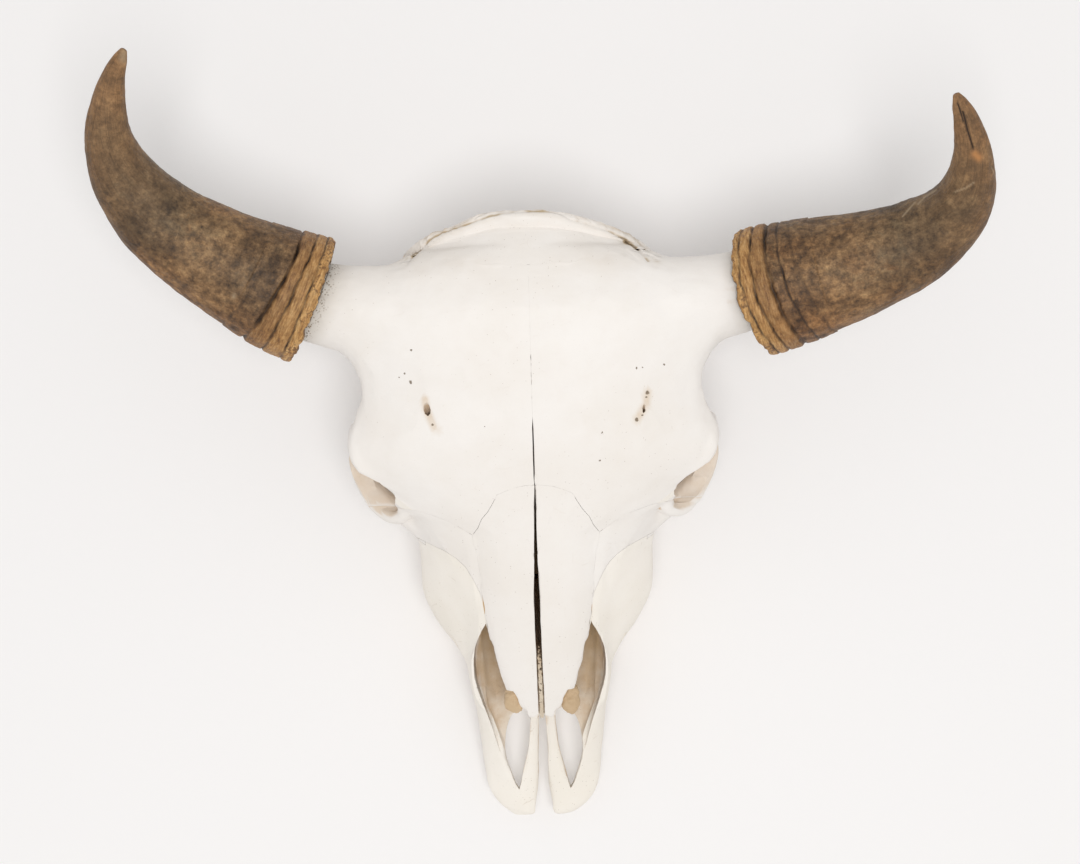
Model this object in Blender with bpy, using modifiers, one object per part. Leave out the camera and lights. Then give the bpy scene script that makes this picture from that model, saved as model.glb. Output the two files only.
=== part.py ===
"""Skull of an adult bull bison without its lower jaw, life size, lying on its cheek teeth and the two
processes beside the back of the head. +X is the animal's left, -Y its nose, +Z up from the floor.

Shapes are written in millimetres in the skull's own frame: x from the midline, y back from the tips of
the front jaw bones, z up from the floor. The last section turns millimetres into metres."""

import math

import bmesh
import bpy
import numpy as np
from mathutils import Matrix, Vector

# Driving dimensions, in millimetres
SKULL_LENGTH = 535.0
NASION_Y = 307.0
NOSE_HOLE_Y = 184.0
HORN_LINE_Y = 458.0
TOOTH_ROW_FRONT = 152.0
ALVEOLAR_Z = 24.0
PALATE_Z = 49.0
MIDLINE_WANDER = 0.8
CREST_Z = 231.0
SUTURE_GAP = 0.3
VOXEL = 2.6
SKULL_TRIANGLES = 4800
METRES = 0.001

BONE = (0.86, 0.82, 0.74, 1.0)
TOOTH_ROOTED_BONE = (0.84, 0.79, 0.70, 1.0)
HORN = (0.23, 0.17, 0.12, 1.0)


def clear_scene():
    for old in list(bpy.data.objects):
        bpy.data.objects.remove(old, do_unlink=True)


def collection(name):
    made = bpy.data.collections.new(name)
    bpy.context.scene.collection.children.link(made)
    return made


clear_scene()
SKULL = collection("bison_skull")
CUTTERS = collection("cutters")
CUTTERS.hide_render = True


def finish_material(name, colour, roughness):
    material = bpy.data.materials.new(name)
    material.use_nodes = True
    shader = material.node_tree.nodes["Principled BSDF"]
    shader.inputs["Base Color"].default_value = colour
    shader.inputs["Roughness"].default_value = roughness
    shader.inputs["Metallic"].default_value = 0.0
    return material


# Meshes from smooth sections

def object_of(bm, name, holder=None):
    """A closed mesh object whose faces point out."""
    bmesh.ops.recalc_face_normals(bm, faces=bm.faces)
    mesh = bpy.data.meshes.new(name)
    bm.to_mesh(mesh)
    bm.free()
    made = bpy.data.objects.new(name, mesh)
    (holder or CUTTERS).objects.link(made)
    return made


def spline(points, closed, steps):
    """Catmull-Rom rows through the given rows, with so many steps to each span."""
    p = np.asarray(points, float)
    if closed:
        before, here, after, beyond = np.roll(p, 1, 0), p, np.roll(p, -1, 0), np.roll(p, -2, 0)
    else:
        p = np.concatenate([[2 * p[0] - p[1]], p, [2 * p[-1] - p[-2]]])
        before, here, after, beyond = p[:-3], p[1:-2], p[2:-1], p[3:]
    rows = []
    for i in range(len(here)):
        for k in range(steps):
            t = k / steps
            rows.append(
                0.5
                * (
                    2 * here[i]
                    + (after[i] - before[i]) * t
                    + (2 * before[i] - 5 * here[i] + 4 * after[i] - beyond[i]) * t**2
                    + (3 * here[i] - before[i] - 3 * after[i] + beyond[i]) * t**3
                )
            )
    if not closed:
        rows.append(p[-2])
    return np.array(rows)


def skin(name, rings, joined=False, holder=None):
    """A closed surface over rings of equally many points, or a closed loop of them if joined."""
    bm = bmesh.new()
    verts = [[bm.verts.new(point) for point in ring] for ring in rings]
    count = len(verts[0])
    pairs = list(zip(verts, verts[1:] + verts[:1])) if joined else list(zip(verts, verts[1:]))
    for first, second in pairs:
        for i in range(count):
            j = (i + 1) % count
            bm.faces.new((first[i], first[j], second[j], second[i]))
    if not joined:
        for ring in (verts[0], verts[-1]):
            middle = bm.verts.new(sum((v.co for v in ring), Vector()) / count)
            for i in range(count):
                bm.faces.new((ring[i], ring[(i + 1) % count], middle))
    return object_of(bm, name, holder)


def sections(name, stations, along=4, around=3):
    """A body that is alike on both sides. A station is y and its half outline [(x, z)...], from the
    top of the midline round the +x side to its bottom, and all have as many points."""
    rings = []
    for y, half in stations:
        left = [(-x, z) for x, z in reversed(half[1:-1])]
        rings.append([(x, y, z) for x, z in half + left])
    rings = spline(rings, False, along)
    return skin(name, [spline(ring, True, around) for ring in rings])


def side_sections(name, side, stations, along=4, around=3):
    """A body of one side. A station is y and its whole outline [(x, z)...], mirrored if side is -1."""
    rings = [[(side * x, y, z) for x, z in outline] for y, outline in stations]
    rings = spline(rings, False, along)
    return skin(name, [spline(ring, True, around) for ring in rings])


def tube(name, stations, up=(0, 0, 1), joined=False, along=4, around=14, holder=None, wave=None):
    """A tapered tube. A station is (x, y, z, radius across, radius along up). wave(distance, angle) adds
    to the radius, and makes rings or ribs."""
    rows = spline(stations, joined, along)
    centres, radii = rows[:, :3], rows[:, 3:]
    if joined:
        ahead = np.roll(centres, -1, 0) - np.roll(centres, 1, 0)
    else:
        ahead = np.gradient(centres, axis=0)
    steps = np.linalg.norm(np.diff(centres, axis=0), axis=1)
    distance = np.concatenate([[0], np.cumsum(steps)])
    rings = []
    for centre, direction, (wide, tall), run in zip(centres, ahead, radii, distance):
        direction = Vector(direction).normalized()
        across = direction.cross(Vector(up)).normalized()
        lift = across.cross(direction)
        ring = []
        for k in range(around):
            angle = 2 * math.pi * k / around
            more = wave(run, angle) if wave else 0.0
            offset = across * (wide + more) * math.cos(angle) + lift * (tall + more) * math.sin(angle)
            ring.append(Vector(centre) + offset)
        rings.append(ring)
    return skin(name, rings, joined, holder)


def mirrored(side, stations):
    return [(side * row[0], *row[1:]) for row in stations]


def ellipsoid(name, centre, radii, turn=(0, 0, 0)):
    bpy.ops.mesh.primitive_uv_sphere_add(segments=24, ring_count=14, location=centre)
    made = bpy.context.object
    made.name = name
    made.scale = radii
    made.rotation_euler = [math.radians(a) for a in turn]
    for holder in list(made.users_collection):
        holder.objects.unlink(made)
    CUTTERS.objects.link(made)
    bpy.context.view_layer.update()
    made.data.transform(made.matrix_world)
    made.matrix_world = Matrix.Identity(4)
    return made


def prism(name, outline, axis, low, high):
    """An outline of two coordinates pushed along the third. axis is "x", "y" or "z"."""
    place = {
        "x": lambda a, b, c: (c, a, b),
        "y": lambda a, b, c: (a, c, b),
        "z": lambda a, b, c: (a, b, c),
    }[axis]
    bm = bmesh.new()
    face = bm.faces.new([bm.verts.new(place(a, b, low)) for a, b in outline])
    pushed = bmesh.ops.extrude_face_region(bm, geom=[face])["geom"]
    far = [v for v in pushed if isinstance(v, bmesh.types.BMVert)]
    bmesh.ops.translate(bm, verts=far, vec=Vector(place(0, 0, high - low)))
    return object_of(bm, name)


# Modifiers

def apply_modifiers(obj):
    graph = bpy.context.evaluated_depsgraph_get()
    mesh = bpy.data.meshes.new_from_object(obj.evaluated_get(graph))
    old = obj.data
    obj.modifiers.clear()
    obj.data = mesh
    bpy.data.meshes.remove(old)
    return obj


def boolean(obj, operation, others):
    """Cuts, joins or intersects obj with the other objects, which are then removed."""
    for other in others:
        modifier = obj.modifiers.new(operation.lower(), "BOOLEAN")
        modifier.operation = operation
        modifier.solver = "EXACT"
        modifier.object = other
        apply_modifiers(obj)
        bpy.data.objects.remove(other, do_unlink=True)
    return obj


def fuse(name, pieces, voxel):
    """One smooth skin over overlapping pieces."""
    bm = bmesh.new()
    for piece in pieces:
        bm.from_mesh(piece.data)
        bpy.data.objects.remove(piece, do_unlink=True)
    made = object_of(bm, name)
    remesh = made.modifiers.new("skin", "REMESH")
    remesh.mode = "VOXEL"
    remesh.voxel_size = voxel
    return apply_modifiers(made)


def relax(obj, rounds, grow=-0.53, shrink=0.5):
    """Smooths out the steps between pieces, and pushes back so that thin plates keep their size."""
    mesh = obj.data
    points = np.empty(len(mesh.vertices) * 3)
    mesh.vertices.foreach_get("co", points)
    points = points.reshape(-1, 3)
    ends = np.empty(len(mesh.edges) * 2, int)
    mesh.edges.foreach_get("vertices", ends)
    a, b = ends.reshape(-1, 2).T
    degree = np.bincount(np.concatenate([a, b]), minlength=len(points))[:, None]
    for step in range(2 * rounds):
        total = np.zeros_like(points)
        np.add.at(total, a, points[b])
        np.add.at(total, b, points[a])
        points += (total / degree - points) * (grow if step % 2 else shrink)
    mesh.vertices.foreach_set("co", points.ravel())
    mesh.update()
    return obj


def thin_out(obj, triangles):
    modifier = obj.modifiers.new("fewer", "DECIMATE")
    modifier.ratio = min(1.0, triangles / sum(len(p.vertices) - 2 for p in obj.data.polygons))
    modifier.use_collapse_triangulate = True
    return apply_modifiers(obj)


def keep_largest(obj):
    """Drops all but the biggest closed surface."""
    bm = bmesh.new()
    bm.from_mesh(obj.data)
    left, groups = set(bm.verts), []
    while left:
        stack = [left.pop()]
        group = set(stack)
        while stack:
            for edge in stack.pop().link_edges:
                for vert in edge.verts:
                    if vert in left:
                        left.discard(vert)
                        group.add(vert)
                        stack.append(vert)
        groups.append(group)
    groups.sort(key=len)
    for group in groups[:-1]:
        bmesh.ops.delete(bm, geom=list(group), context="VERTS")
    bm.to_mesh(obj.data)
    bm.free()
    return obj


# The top of the skull along the midline, from the nose to the poll

ROOF = [
    (99, 111), (112, 119), (126, 128), (151, 141), (181, 156), (207, 168), (242, 183),
    (266, 193), (290, 203), (NASION_Y, 210), (330, 220), (356, 230), (383, 239), (410, 246),
    (438, 251), (462, 253), (484, 248), (502, 242), (518, 236), (SKULL_LENGTH, CREST_Z),
]


def roof(y):
    ys, zs = zip(*ROOF)
    return float(np.interp(y, ys, zs))


def nasal_roof():
    """The two nasal bones in one, an arched plate that overhangs the nose hole at its front."""
    widths = [
        (99, 11, 4), (106, 20, 5), (116, 26, 6), (126, 30, 7), (142, 35, 9), (160, 39.5, 11),
        (NOSE_HOLE_Y, 44, 13), (207, 47, 14), (242, 50, 14), (268, 51, 13), (300, 46, 11),
    ]
    thick = 6.5
    stations = []
    for y, wide, drop in widths:
        top = roof(y)
        stations.append(
            (
                y,
                [
                    (0, top),
                    (0.34 * wide, top - 0.04 * drop),
                    (0.66 * wide, top - 0.26 * drop),
                    (0.92 * wide, top - 0.72 * drop),
                    (wide, top - drop - 2.5),
                    (0.86 * wide, top - 0.76 * drop - thick),
                    (0.5 * wide, top - 0.18 * drop - thick),
                    (0, top - thick),
                ],
            )
        )
    return sections("nasal_roof", stations, along=3)


def face():
    """Upper jaw bones: side walls of the nose, the cheeks out to the facial ridge, and the palate.
    Points: roof, nasal edge, mid cheek, facial ridge, outer and inner tooth margin, palate."""
    rows = [
        (108, 88, (53, 88), (56.5, 72), (58, 56), (52, 41), (42, 40), (20, 46), 48),
        (128, 100, (55.5, 100), (59, 82), (60, 60), (54, 39), (44, 37), (21, 46), 48),
        (147, 112, (56.5, 112), (62, 90), (63.5, 62), (57, 34), (46, 32), (22, 46), PALATE_Z),
        (165, 126, (51, 126), (65, 102), (76, 66), (66, 27), (49, 28), (24, 46), PALATE_Z),
        (182, 143, (44.5, 141), (65, 114), (90, 70), (74, 25), (51, 27), (26, 46), PALATE_Z),
        (211, 160, (46, 156), (71, 131), (103, 80), (80, 25), (54, 27), (27, 46), PALATE_Z),
        (240, 174, (49, 169), (77, 147), (103, 90), (83, 25), (56, 27), (28, 46), PALATE_Z),
        (262, 183, (52, 180), (84, 161), (104, 106), (83, 25), (57, 27), (28, 46), PALATE_Z),
        (282, 190, (55, 187), (94, 167), (113, 124), (82, 26), (57, 27), (28, 46), 50),
        (298, 194, (56, 190), (98, 168), (108, 130), (76, 36), (57, 34), (28, 52), 55),
    ]
    stations = []
    for y, top, edge, cheek, ridge, outer, inner, vault, palate in rows:
        between = ((edge[0] + cheek[0]) / 2 + 1, (edge[1] + cheek[1]) / 2 + 2)
        beside = ((cheek[0] + ridge[0]) / 2 + 3, (cheek[1] + ridge[1]) / 2 + 2)
        below = ((ridge[0] + outer[0]) / 2 - 4, (ridge[1] + outer[1]) / 2 - 2)
        half = [(0, top), edge, between, cheek, beside, ridge, below, outer, inner, vault, (0, palate)]
        stations.append((y, half))
    return sections("face", stations, along=3)


def nose_cavity():
    """The space between the side walls of the nose, the palate and the roof, open to the front."""
    rows = [
        (84, 140, 49, 92, 51, 70, 45, 51),
        (108, 140, 49, 100, 51.5, 74, 46, 52),
        (128, 150, 51, 104, 54, 78, 48, 54),
        (147, 160, 52, 116, 57, 84, 50, 55),
        (165, 150, 47, 128, 59, 90, 52, 56),
        (182, 146, 38, 134, 56, 96, 50, 57),
        (205, 154, 36, 140, 52, 100, 44, 60),
        (226, 158, 30, 144, 40, 110, 32, 68),
    ]
    stations = []
    for y, top, x_high, z_high, x_mid, z_mid, x_low, floor in rows:
        half = [(0, top), (x_high * 0.55, top - 2), (x_high, z_high), (x_mid, z_mid), (x_low, floor + 5),
                (x_low * 0.6, floor), (0, floor + 1)]
        stations.append((y, half))
    return sections("nose_cavity", stations, along=3)


def premaxilla(side):
    """Front jaw bone of one side: a leaning plate from the cheek to the tip, and the slender inner bar
    that runs back beside the midline."""
    plate = [
        (1, [(11, 30), (16, 31), (23, 29), (24, 26), (16, 24), (11, 25)]),
        (6, [(9, 33), (20, 34), (32, 30), (33, 26), (20, 23), (9, 25)]),
        (16, [(9, 36), (24, 37), (41, 32), (42.5, 27), (26, 24), (9, 26)]),
        (28, [(20, 39), (29, 41), (48, 34), (49.5, 29), (36, 26), (20, 29)]),
        (46, [(29, 46), (34.5, 51), (50, 41), (52.5, 32), (44, 28), (32, 36)]),
        (68, [(34, 58), (40, 65), (52, 53), (55.5, 38), (48, 33), (38, 44)]),
        (91, [(40, 71), (46, 79), (55, 65), (57.5, 44), (50, 38), (44, 54)]),
        (113, [(46, 84), (51.5, 92), (58, 76), (59.5, 51), (53, 42), (50, 62)]),
        (132, [(51, 94), (55, 103), (60, 86), (61.5, 58), (56, 46), (54, 70)]),
        (149, [(53.5, 104), (57, 113), (61.5, 94), (63, 68), (58.5, 58), (56.5, 80)]),
    ]
    bar = [
        (4, [(9, 32), (20, 32), (22, 26), (9, 25)]),
        (16, [(8.5, 35), (26, 36), (27, 27), (8.5, 26)]),
        (30, [(6.5, 38), (23, 40), (24.5, 29), (6.5, 28)]),
        (48, [(5, 41), (18, 42), (19.5, 34), (5, 33)]),
        (68, [(4, 44), (15, 45), (16, 38), (4, 37)]),
        (92, [(3.2, 48), (12, 49), (13, 42), (3.2, 41)]),
        (116, [(3.0, 52), (11, 52), (12, 45), (3.0, 45)]),
        (136, [(2.0, 54), (10, 54), (11, 46), (2.0, 46)]),
    ]
    return [
        side_sections("premaxilla_plate", side, plate, along=3, around=2),
        side_sections("premaxilla_bar", side, bar, along=3, around=3),
    ]


def nose_floor(side):
    """The shelf of the palate that reaches forward from the cheek wall beside the gap in the palate."""
    stations = [
        (26, [(22, 32), (34, 33), (36, 28), (22, 28)]),
        (46, [(26, 37), (46, 39), (48, 32), (26, 31)]),
        (68, [(26, 41), (50, 43), (52, 36), (26, 35)]),
        (88, [(26, 47), (51, 49), (54, 41), (26, 40)]),
        (97, [(0, 50), (51, 52), (54, 42), (0, 42)]),
        (116, [(0, 52), (50, 54), (54, 41), (0, 44)]),
        (140, [(0, 55), (50, 56), (54, 40), (0, 46)]),
    ]
    return side_sections("nose_floor", side, stations, along=3)


def midline_x(y):
    """The seam between the nasal bones wanders a little."""
    return MIDLINE_WANDER * math.sin(y / 46.0)


def vomer(grow=0.0):
    """The upright plate that parts the nose into two halves and shows in the seam of the nasal bones.
    A row is y, top, foot and half thickness at the foot."""
    rows = [
        (99, 104, 48.5, 3.0), (118, 119, 51.5, 3.2), (135, 129, 53, 3.4), (150, 137, 54, 3.6),
        (165, 141, 55, 4.0), (182, 134, 56, 4.4), (205, 138, 59, 5.0), (224, 144, 66, 5.6),
    ]
    thin = 1.4 + grow
    stations = []
    for y, top, foot, half in rows:
        x, half, foot = midline_x(y), half + grow, foot - grow
        outline = [
            (x, top + grow), (x + thin, top - 2), (x + thin, foot + 26),
            (x + half, foot + 8), (x + half, foot), (x - half, foot), (x - half, foot + 8),
            (x - thin, foot + 26), (x - thin, top - 2),
        ]
        stations.append((y, outline))
    stations[0] = (stations[0][0] - grow, stations[0][1])
    stations[-1] = (stations[-1][0] + grow, stations[-1][1])
    return side_sections("vomer", 1, stations, along=2, around=1)


def frontal_shield():
    """The broad forehead from the nasal bones to the poll, with the roofs of the eye sockets.
    A row is y, half width, drop to the rim, and thickness at the rim and at the midline."""
    rows = [
        (262, 60, 22, 34, 44), (276, 90, 31, 34, 46), (290, 118, 40, 22, 46), (302, 129, 37, 14, 46),
        (315, 145.5, 34, 12, 46), (331, 156, 32, 11, 44), (349, 158.5, 36, 12, 42), (363, 152, 37, 13, 42),
        (376, 146, 36, 14, 42), (388, 143.5, 34, 15, 42), (402, 145, 33, 20, 42), (415, 152, 32, 28, 44),
        (427, 161, 31, 34, 46), (440, 161, 28, 38, 48), (HORN_LINE_Y, 150, 26, 44, 50),
        (482, 138, 24, 36, 48), (497, 112, 28, 30, 44), (506, 92, 32, 24, 40),
    ]
    stations = []
    for y, wide, drop, rim, middle in rows:
        top = roof(y)
        stations.append(
            (
                y,
                [
                    (0, top),
                    (0.3 * wide, top - 0.03 * drop),
                    (0.6 * wide, top - 0.22 * drop),
                    (0.84 * wide, top - 0.58 * drop),
                    (0.97 * wide, top - 0.92 * drop),
                    (wide, top - drop - 0.5 * rim),
                    (0.95 * wide, top - drop - rim),
                    (0.72 * wide, top - 0.55 * drop - 1.1 * rim),
                    (0.4 * wide, top - middle),
                    (0, top - middle - 4),
                ],
            )
        )
    return sections("frontal_shield", stations, along=3)


def braincase():
    """The body of the skull under the forehead, from the nose back to the brain."""
    rows = [
        (235, 172, (34, 140), (38, 110), (30, 80), (20, 62), 60),
        (275, 180, (52, 150), (50, 110), (38, 76), (22, 62), 64),
        (315, 186, (50, 160), (44, 124), (30, 96), (17, 82), 80),
        (350, 196, (46, 168), (40, 130), (30, 100), (18, 84), 82),
        (385, 205, (54, 176), (50, 136), (40, 104), (21, 82), 78),
        (420, 214, (64, 176), (66, 136), (56, 100), (25, 76), 72),
        (455, 222, (70, 176), (78, 136), (78, 102), (28, 72), 66),
        (490, 222, (72, 170), (88, 136), (88, 100), (30, 70), 64),
        (508, 214, (58, 164), (74, 134), (76, 102), (28, 72), 68),
    ]
    stations = []
    for y, top, high, side, low, under, bottom in rows:
        stations.append((y, [(0, top), (high[0] * 0.7, top - 8), high, side, low, under, (0, bottom)]))
    return sections("braincase", stations)


def occiput():
    """The back of the head: a fan from the ears up to the crest."""
    rows = [
        (466, 232, (58, 218), (98, 172), (114, 128), (112, 96), (84, 78), (36, 68), 64),
        (484, 234, (58, 218), (98, 172), (115, 128), (113, 92), (84, 74), (36, 66), 62),
        (500, 232, (56, 214), (90, 172), (104, 130), (102, 94), (78, 76), (34, 66), 62),
        (510, 226, (48, 204), (74, 168), (86, 130), (84, 98), (62, 80), (30, 68), 66),
        (517, 214, (36, 190), (54, 160), (62, 130), (60, 104), (46, 88), (22, 76), 74),
    ]
    stations = []
    for y, top, shoulder, high, side, low, corner, under, bottom in rows:
        stations.append((y, [(0, top), shoulder, high, side, low, corner, under, (0, bottom)]))
    return sections("occiput", stations)


def nuchal_crest(side):
    """The rough ridge that frames the back of the head, from behind the ear up over the top. Its right
    half stands out a little further than its left."""
    root = [(113, 478, 96, 9, 8), (115, 484, 124, 7, 7), (109, 492, 158, 6, 6.5)]
    left_edge = [(97, 503, 184, 5.5, 5.5), (83, 512.5, 200, 5, 5.5), (66, 518.5, 211, 5, 5.5),
                 (45, 524.5, 222, 5.5, 6), (26, 528.5, 229, 6, 6)]
    right_edge = [(98, 505, 182, 5.5, 5.5), (85, 515, 199, 5, 5.5), (69, 518.5, 210, 5, 5.5),
                  (51, 524.5, 220, 5.5, 6), (32, 530, 227, 6, 6)]
    top = [(12, 530.5, 230, 6.5, 6.5), (-4, 530, 230, 7, 7)]
    path = root + (left_edge if side == 1 else right_edge) + top
    return tube("nuchal_crest", mirrored(side, path), up=(0, 1, 0))


def poll():
    """The surface that slopes from the forehead back to the crest, with its low central swelling."""
    rows = [
        (470, 250, (40, 246), (82, 232), (100, 204), (60, 180), 180),
        (490, 246, (38, 241), (82, 226), (101, 194), (60, 176), 176),
        (508, 239, (36, 233), (74, 213), (90, 189), (52, 172), 172),
        (522, 231, (32, 226), (60, 209), (72, 193), (38, 182), 182),
        (531, 226, (24, 222), (36, 212), (44, 202), (22, 196), 196),
    ]
    return sections("poll", [(y, [(0, top), *points, (0, low)]) for y, top, *points, low in rows])


def eye_socket_rim(side):
    """The bony ring of the eye socket, which stands out from the side of the head like a short tube."""
    path = [
        (151, 346, 190, 6, 7), (147, 328, 189, 5.5, 6), (125, 313, 182, 5.5, 5.5), (109, 300, 168, 5.5, 6.5),
        (113, 283, 152, 6, 7), (129, 282, 136, 7, 6.5), (146, 301, 126, 6.5, 6), (155, 323, 127, 6, 6),
        (155, 341, 136, 6, 6), (151, 356, 154, 7, 7), (150, 357, 175, 8, 7),
    ]
    return tube("eye_socket_rim", mirrored(side, path), up=(1, -0.2, 0.1), joined=True, along=3)


def eye_socket(side):
    """The hollow of the eye socket, from outside the rim in to the wall beside the nose."""
    path = [
        (200, 312, 162, 30, 30), (160, 317, 160, 30, 30), (138, 320, 159, 30, 29), (112, 326, 156, 31, 28),
        (86, 336, 152, 30, 26), (66, 346, 148, 24, 22), (58, 350, 146, 14, 14),
    ]
    return tube("eye_socket", mirrored(side, path), around=20)


def cheek_bone(side):
    """The cheek bone under the eye socket and the arch that runs back from it to the ear."""
    body = [
        (80, 226, 74, 10, 8), (88, 248, 90, 10, 14), (97, 266, 108, 9, 18), (113, 282, 120, 10, 18),
        (136, 301, 121, 8, 13), (150, 324, 123, 6, 10), (150, 346, 128, 6, 12),
    ]
    arch = [
        (150, 322, 123, 5, 8), (147, 350, 122, 5, 11), (139, 378, 122, 5, 10.5), (131, 402, 123, 5, 9),
        (122, 424, 124, 6, 9), (108, 444, 124, 8, 9), (92, 456, 122, 10, 9),
    ]
    return [tube("cheek", mirrored(side, body)), tube("arch", mirrored(side, arch))]


def horn_core(side):
    """The bony peg that carries the horn, part of the forehead."""
    path = [
        (88, 454, 214, 30, 30), (118, 457, 211, 37, 32), (140, 459, 207, 37, 33), (160, 461, 202, 36, 33),
        (180, 466, 197, 35, 33), (202, 473, 199, 33, 32), (232, 484, 205, 30, 30), (262, 496, 212, 26, 27),
    ]
    return tube("horn_core", mirrored(side, path), around=20)


def ear_region(side):
    """Hinge of the lower jaw, ear opening, swollen ear bone and the bone behind it."""
    ear_path = [(70, 462, 112, 10, 10), (96, 466, 114, 9, 9), (116, 470, 118, 8, 8)]
    return [
        ellipsoid("jaw_hinge", (side * 92, 434, 116), (30, 17, 12), (0, side * 6, 0)),
        ellipsoid("jaw_stop", (side * 76, 452, 104), (12, 8, 14)),
        tube("ear_tube", mirrored(side, ear_path)),
        ellipsoid("ear_bone", (side * 52, 456, 68), (12, 20, 22), (12, 0, side * 12)),
        ellipsoid("behind_ear", (side * 104, 480, 98), (14, 14, 22)),
    ]


def rear_process(side):
    """The blade beside the neck joint that reaches down to the floor."""
    path = [
        (78, 490, 96, 14, 20), (74, 489, 66, 11, 18), (70, 488, 38, 9, 15), (66, 487, 14, 7.5, 12),
        (64, 486, -6, 6.5, 10),
    ]
    return tube("rear_process", mirrored(side, path), up=(0, 1, 0))


def neck_joint(side):
    """The knuckle that the neck turned on."""
    return [
        ellipsoid("knuckle", (side * 29, 514, 84), (18, 18, 25), (-20, side * 8, side * 14)),
        ellipsoid("knuckle_root", (side * 32, 500, 80), (20, 16, 22)),
        ellipsoid("throat_bump", (side * 15, 452, 66), (9, 14, 8)),
    ]


def skull_floor():
    """The bar of bone under the brain, from the neck joint forward to the throat."""
    path = [
        (0, 512, 74, 26, 9), (0, 488, 71, 28, 10), (0, 460, 70, 24, 10), (0, 430, 76, 19, 10),
        (0, 396, 84, 15, 9), (0, 356, 92, 12, 8),
    ]
    return tube("skull_floor", path)


def throat_plate(side):
    """The thin plate that hangs on each side of the inner nostril, with its hook."""
    rows = [
        (282, 27, 3.5, 44, 96), (306, 27, 3.2, 45, 104), (330, 26, 3.0, 46, 110), (352, 25.5, 3.0, 48, 112),
        (372, 25, 3.0, 54, 112), (392, 24, 3.2, 66, 108),
    ]
    stations = []
    for y, x, half, low, high in rows:
        middle = (low + high) / 2
        outline = [
            (x + half, high), (x + half + 1, middle), (x + half, low + 2), (x, low), (x - half, low + 2),
            (x - half - 1, middle), (x - half, high),
        ]
        stations.append((y, outline))
    return side_sections("throat_plate", side, stations, along=3, around=2)


def fused_skull():
    """Every bone of the skull as one smooth skin."""
    hollow_face = boolean(face(), "DIFFERENCE", [nose_cavity()])
    pieces = [
        hollow_face, nasal_roof(), frontal_shield(), braincase(), occiput(), poll(), skull_floor(),
    ]
    for side in (1, -1):
        pieces += [
            nuchal_crest(side), eye_socket_rim(side), horn_core(side),
            rear_process(side), nose_floor(side), throat_plate(side),
        ]
        pieces += cheek_bone(side) + ear_region(side) + neck_joint(side) + premaxilla(side)
    return fuse("fused_skull", pieces, VOXEL)


# Openings

def palate_gap(side):
    """The long hole in the front of the palate."""
    outline = [
        (23.6, 27), (30, 42), (34.5, 57), (35.2, 71), (33, 85), (29.5, 94), (24.5, 99.5), (17, 101.5),
        (11.8, 99), (11.4, 90), (13, 72), (14.5, 62), (19.5, 43),
    ]
    rounded = [tuple(p) for p in spline([(side * x + 1.4, y) for x, y in outline], True, 2)]
    return prism("palate_gap", rounded, "z", 20, 62)


def midline_gap():
    """The open seam between the nasal bones and between the front jaw bones. A pair is y and half
    the width."""
    nasal = [(90, 2.9), (120, 2.8), (150, 2.6), (181, 2.7), (207, 2.6), (235, 1.7), (262, 1.2), (290, 1.0),
             (304, 0.5), (309, 0.1)]
    front = [(-12, 11), (3, 8.6), (14, 7.6), (32, 4.5), (60, 4.3), (84, 3.4), (96, 2.6)]
    cutters = []
    for name, widths, low, high in (("nasal_seam", nasal, 96, 260), ("front_seam", front, 0, 62)):
        right = [(midline_x(y) + w, y) for y, w in widths]
        left = [(midline_x(y) - w, y) for y, w in reversed(widths)]
        cutters.append(prism(name, right + left, "z", low, high))
    return cutters


def nose_mouth(side):
    """The opening of the nose beside the nasal bone, with the step at the nasal tip."""
    cheek_edge = [(45.5, 187), (50, 179), (54, 171), (57, 162), (58.3, 150), (58, 137), (56, 127), (52, 113),
                  (45, 91), (39, 68), (35, 56)]
    nasal_edge = [(-1, 56), (-1, 101), (3, 103), (8, 99.5), (11, 101), (12.5, 107), (17, 109), (19, 114),
                  (20, 119), (24, 125.5), (29.8, 126), (34.5, 139), (38, 150), (41.4, 163), (43.6, 177)]
    return prism("nose_mouth", [(side * x, y) for x, y in cheek_edge + nasal_edge], "z", 62, 250)


def brow_hole(side):
    """The hole in the forehead over each eye, which leads forward and down. The left one is a narrow
    slit, as the bone has grown over it."""
    if side == 1:
        path = [(95, 373, 262, 1.5, 4), (95, 372, 236, 1.5, 4), (92, 367, 222, 1.4, 3)]
        path.append((86, 360, 205, 1.5, 2))
    else:
        path = [(89, 378.5, 262, 3.6, 5.4), (89, 376, 236, 3.4, 5), (86, 370, 222, 3, 4)]
        path.append((82, 362, 205, 3, 3))
    return tube("brow_hole", mirrored(side, path), up=(0, 1, 0), along=2, around=8)


def cheek_hole(side):
    """The nerve hole in the cheek above the first tooth."""
    path = [(96, 150, 84, 6, 4.5), (76, 166, 82, 5.5, 4.5), (62, 180, 82, 4, 3.5)]
    return tube("cheek_hole", mirrored(side, path), along=2, around=8)


def neck_hole():
    """The hole that the spinal cord passed through."""
    path = [(0, 560, 108, 23, 21), (0, 516, 106, 21, 20), (0, 490, 105, 17, 17), (0, 468, 105, 9, 10)]
    return tube("neck_hole", path, along=2, around=14)


def ear_hole(side):
    path = [(130, 474, 120, 5, 5), (104, 467, 116, 4.2, 4.2)]
    return tube("ear_hole", mirrored(side, path), along=1, around=8)


def inner_nostril():
    """The way from the throat forward into the nose, above the back of the palate."""
    path = [(0, 372, 62, 19, 26), (0, 330, 66, 19, 18), (0, 300, 72, 17, 13), (0, 262, 80, 10, 9)]
    return tube("inner_nostril", path, along=2, around=12)


def floor_cutter():
    low = [(-150, -50), (150, -50), (150, 600), (-150, 600)]
    return prism("floor_cutter", low, "z", -60, 0)


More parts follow.
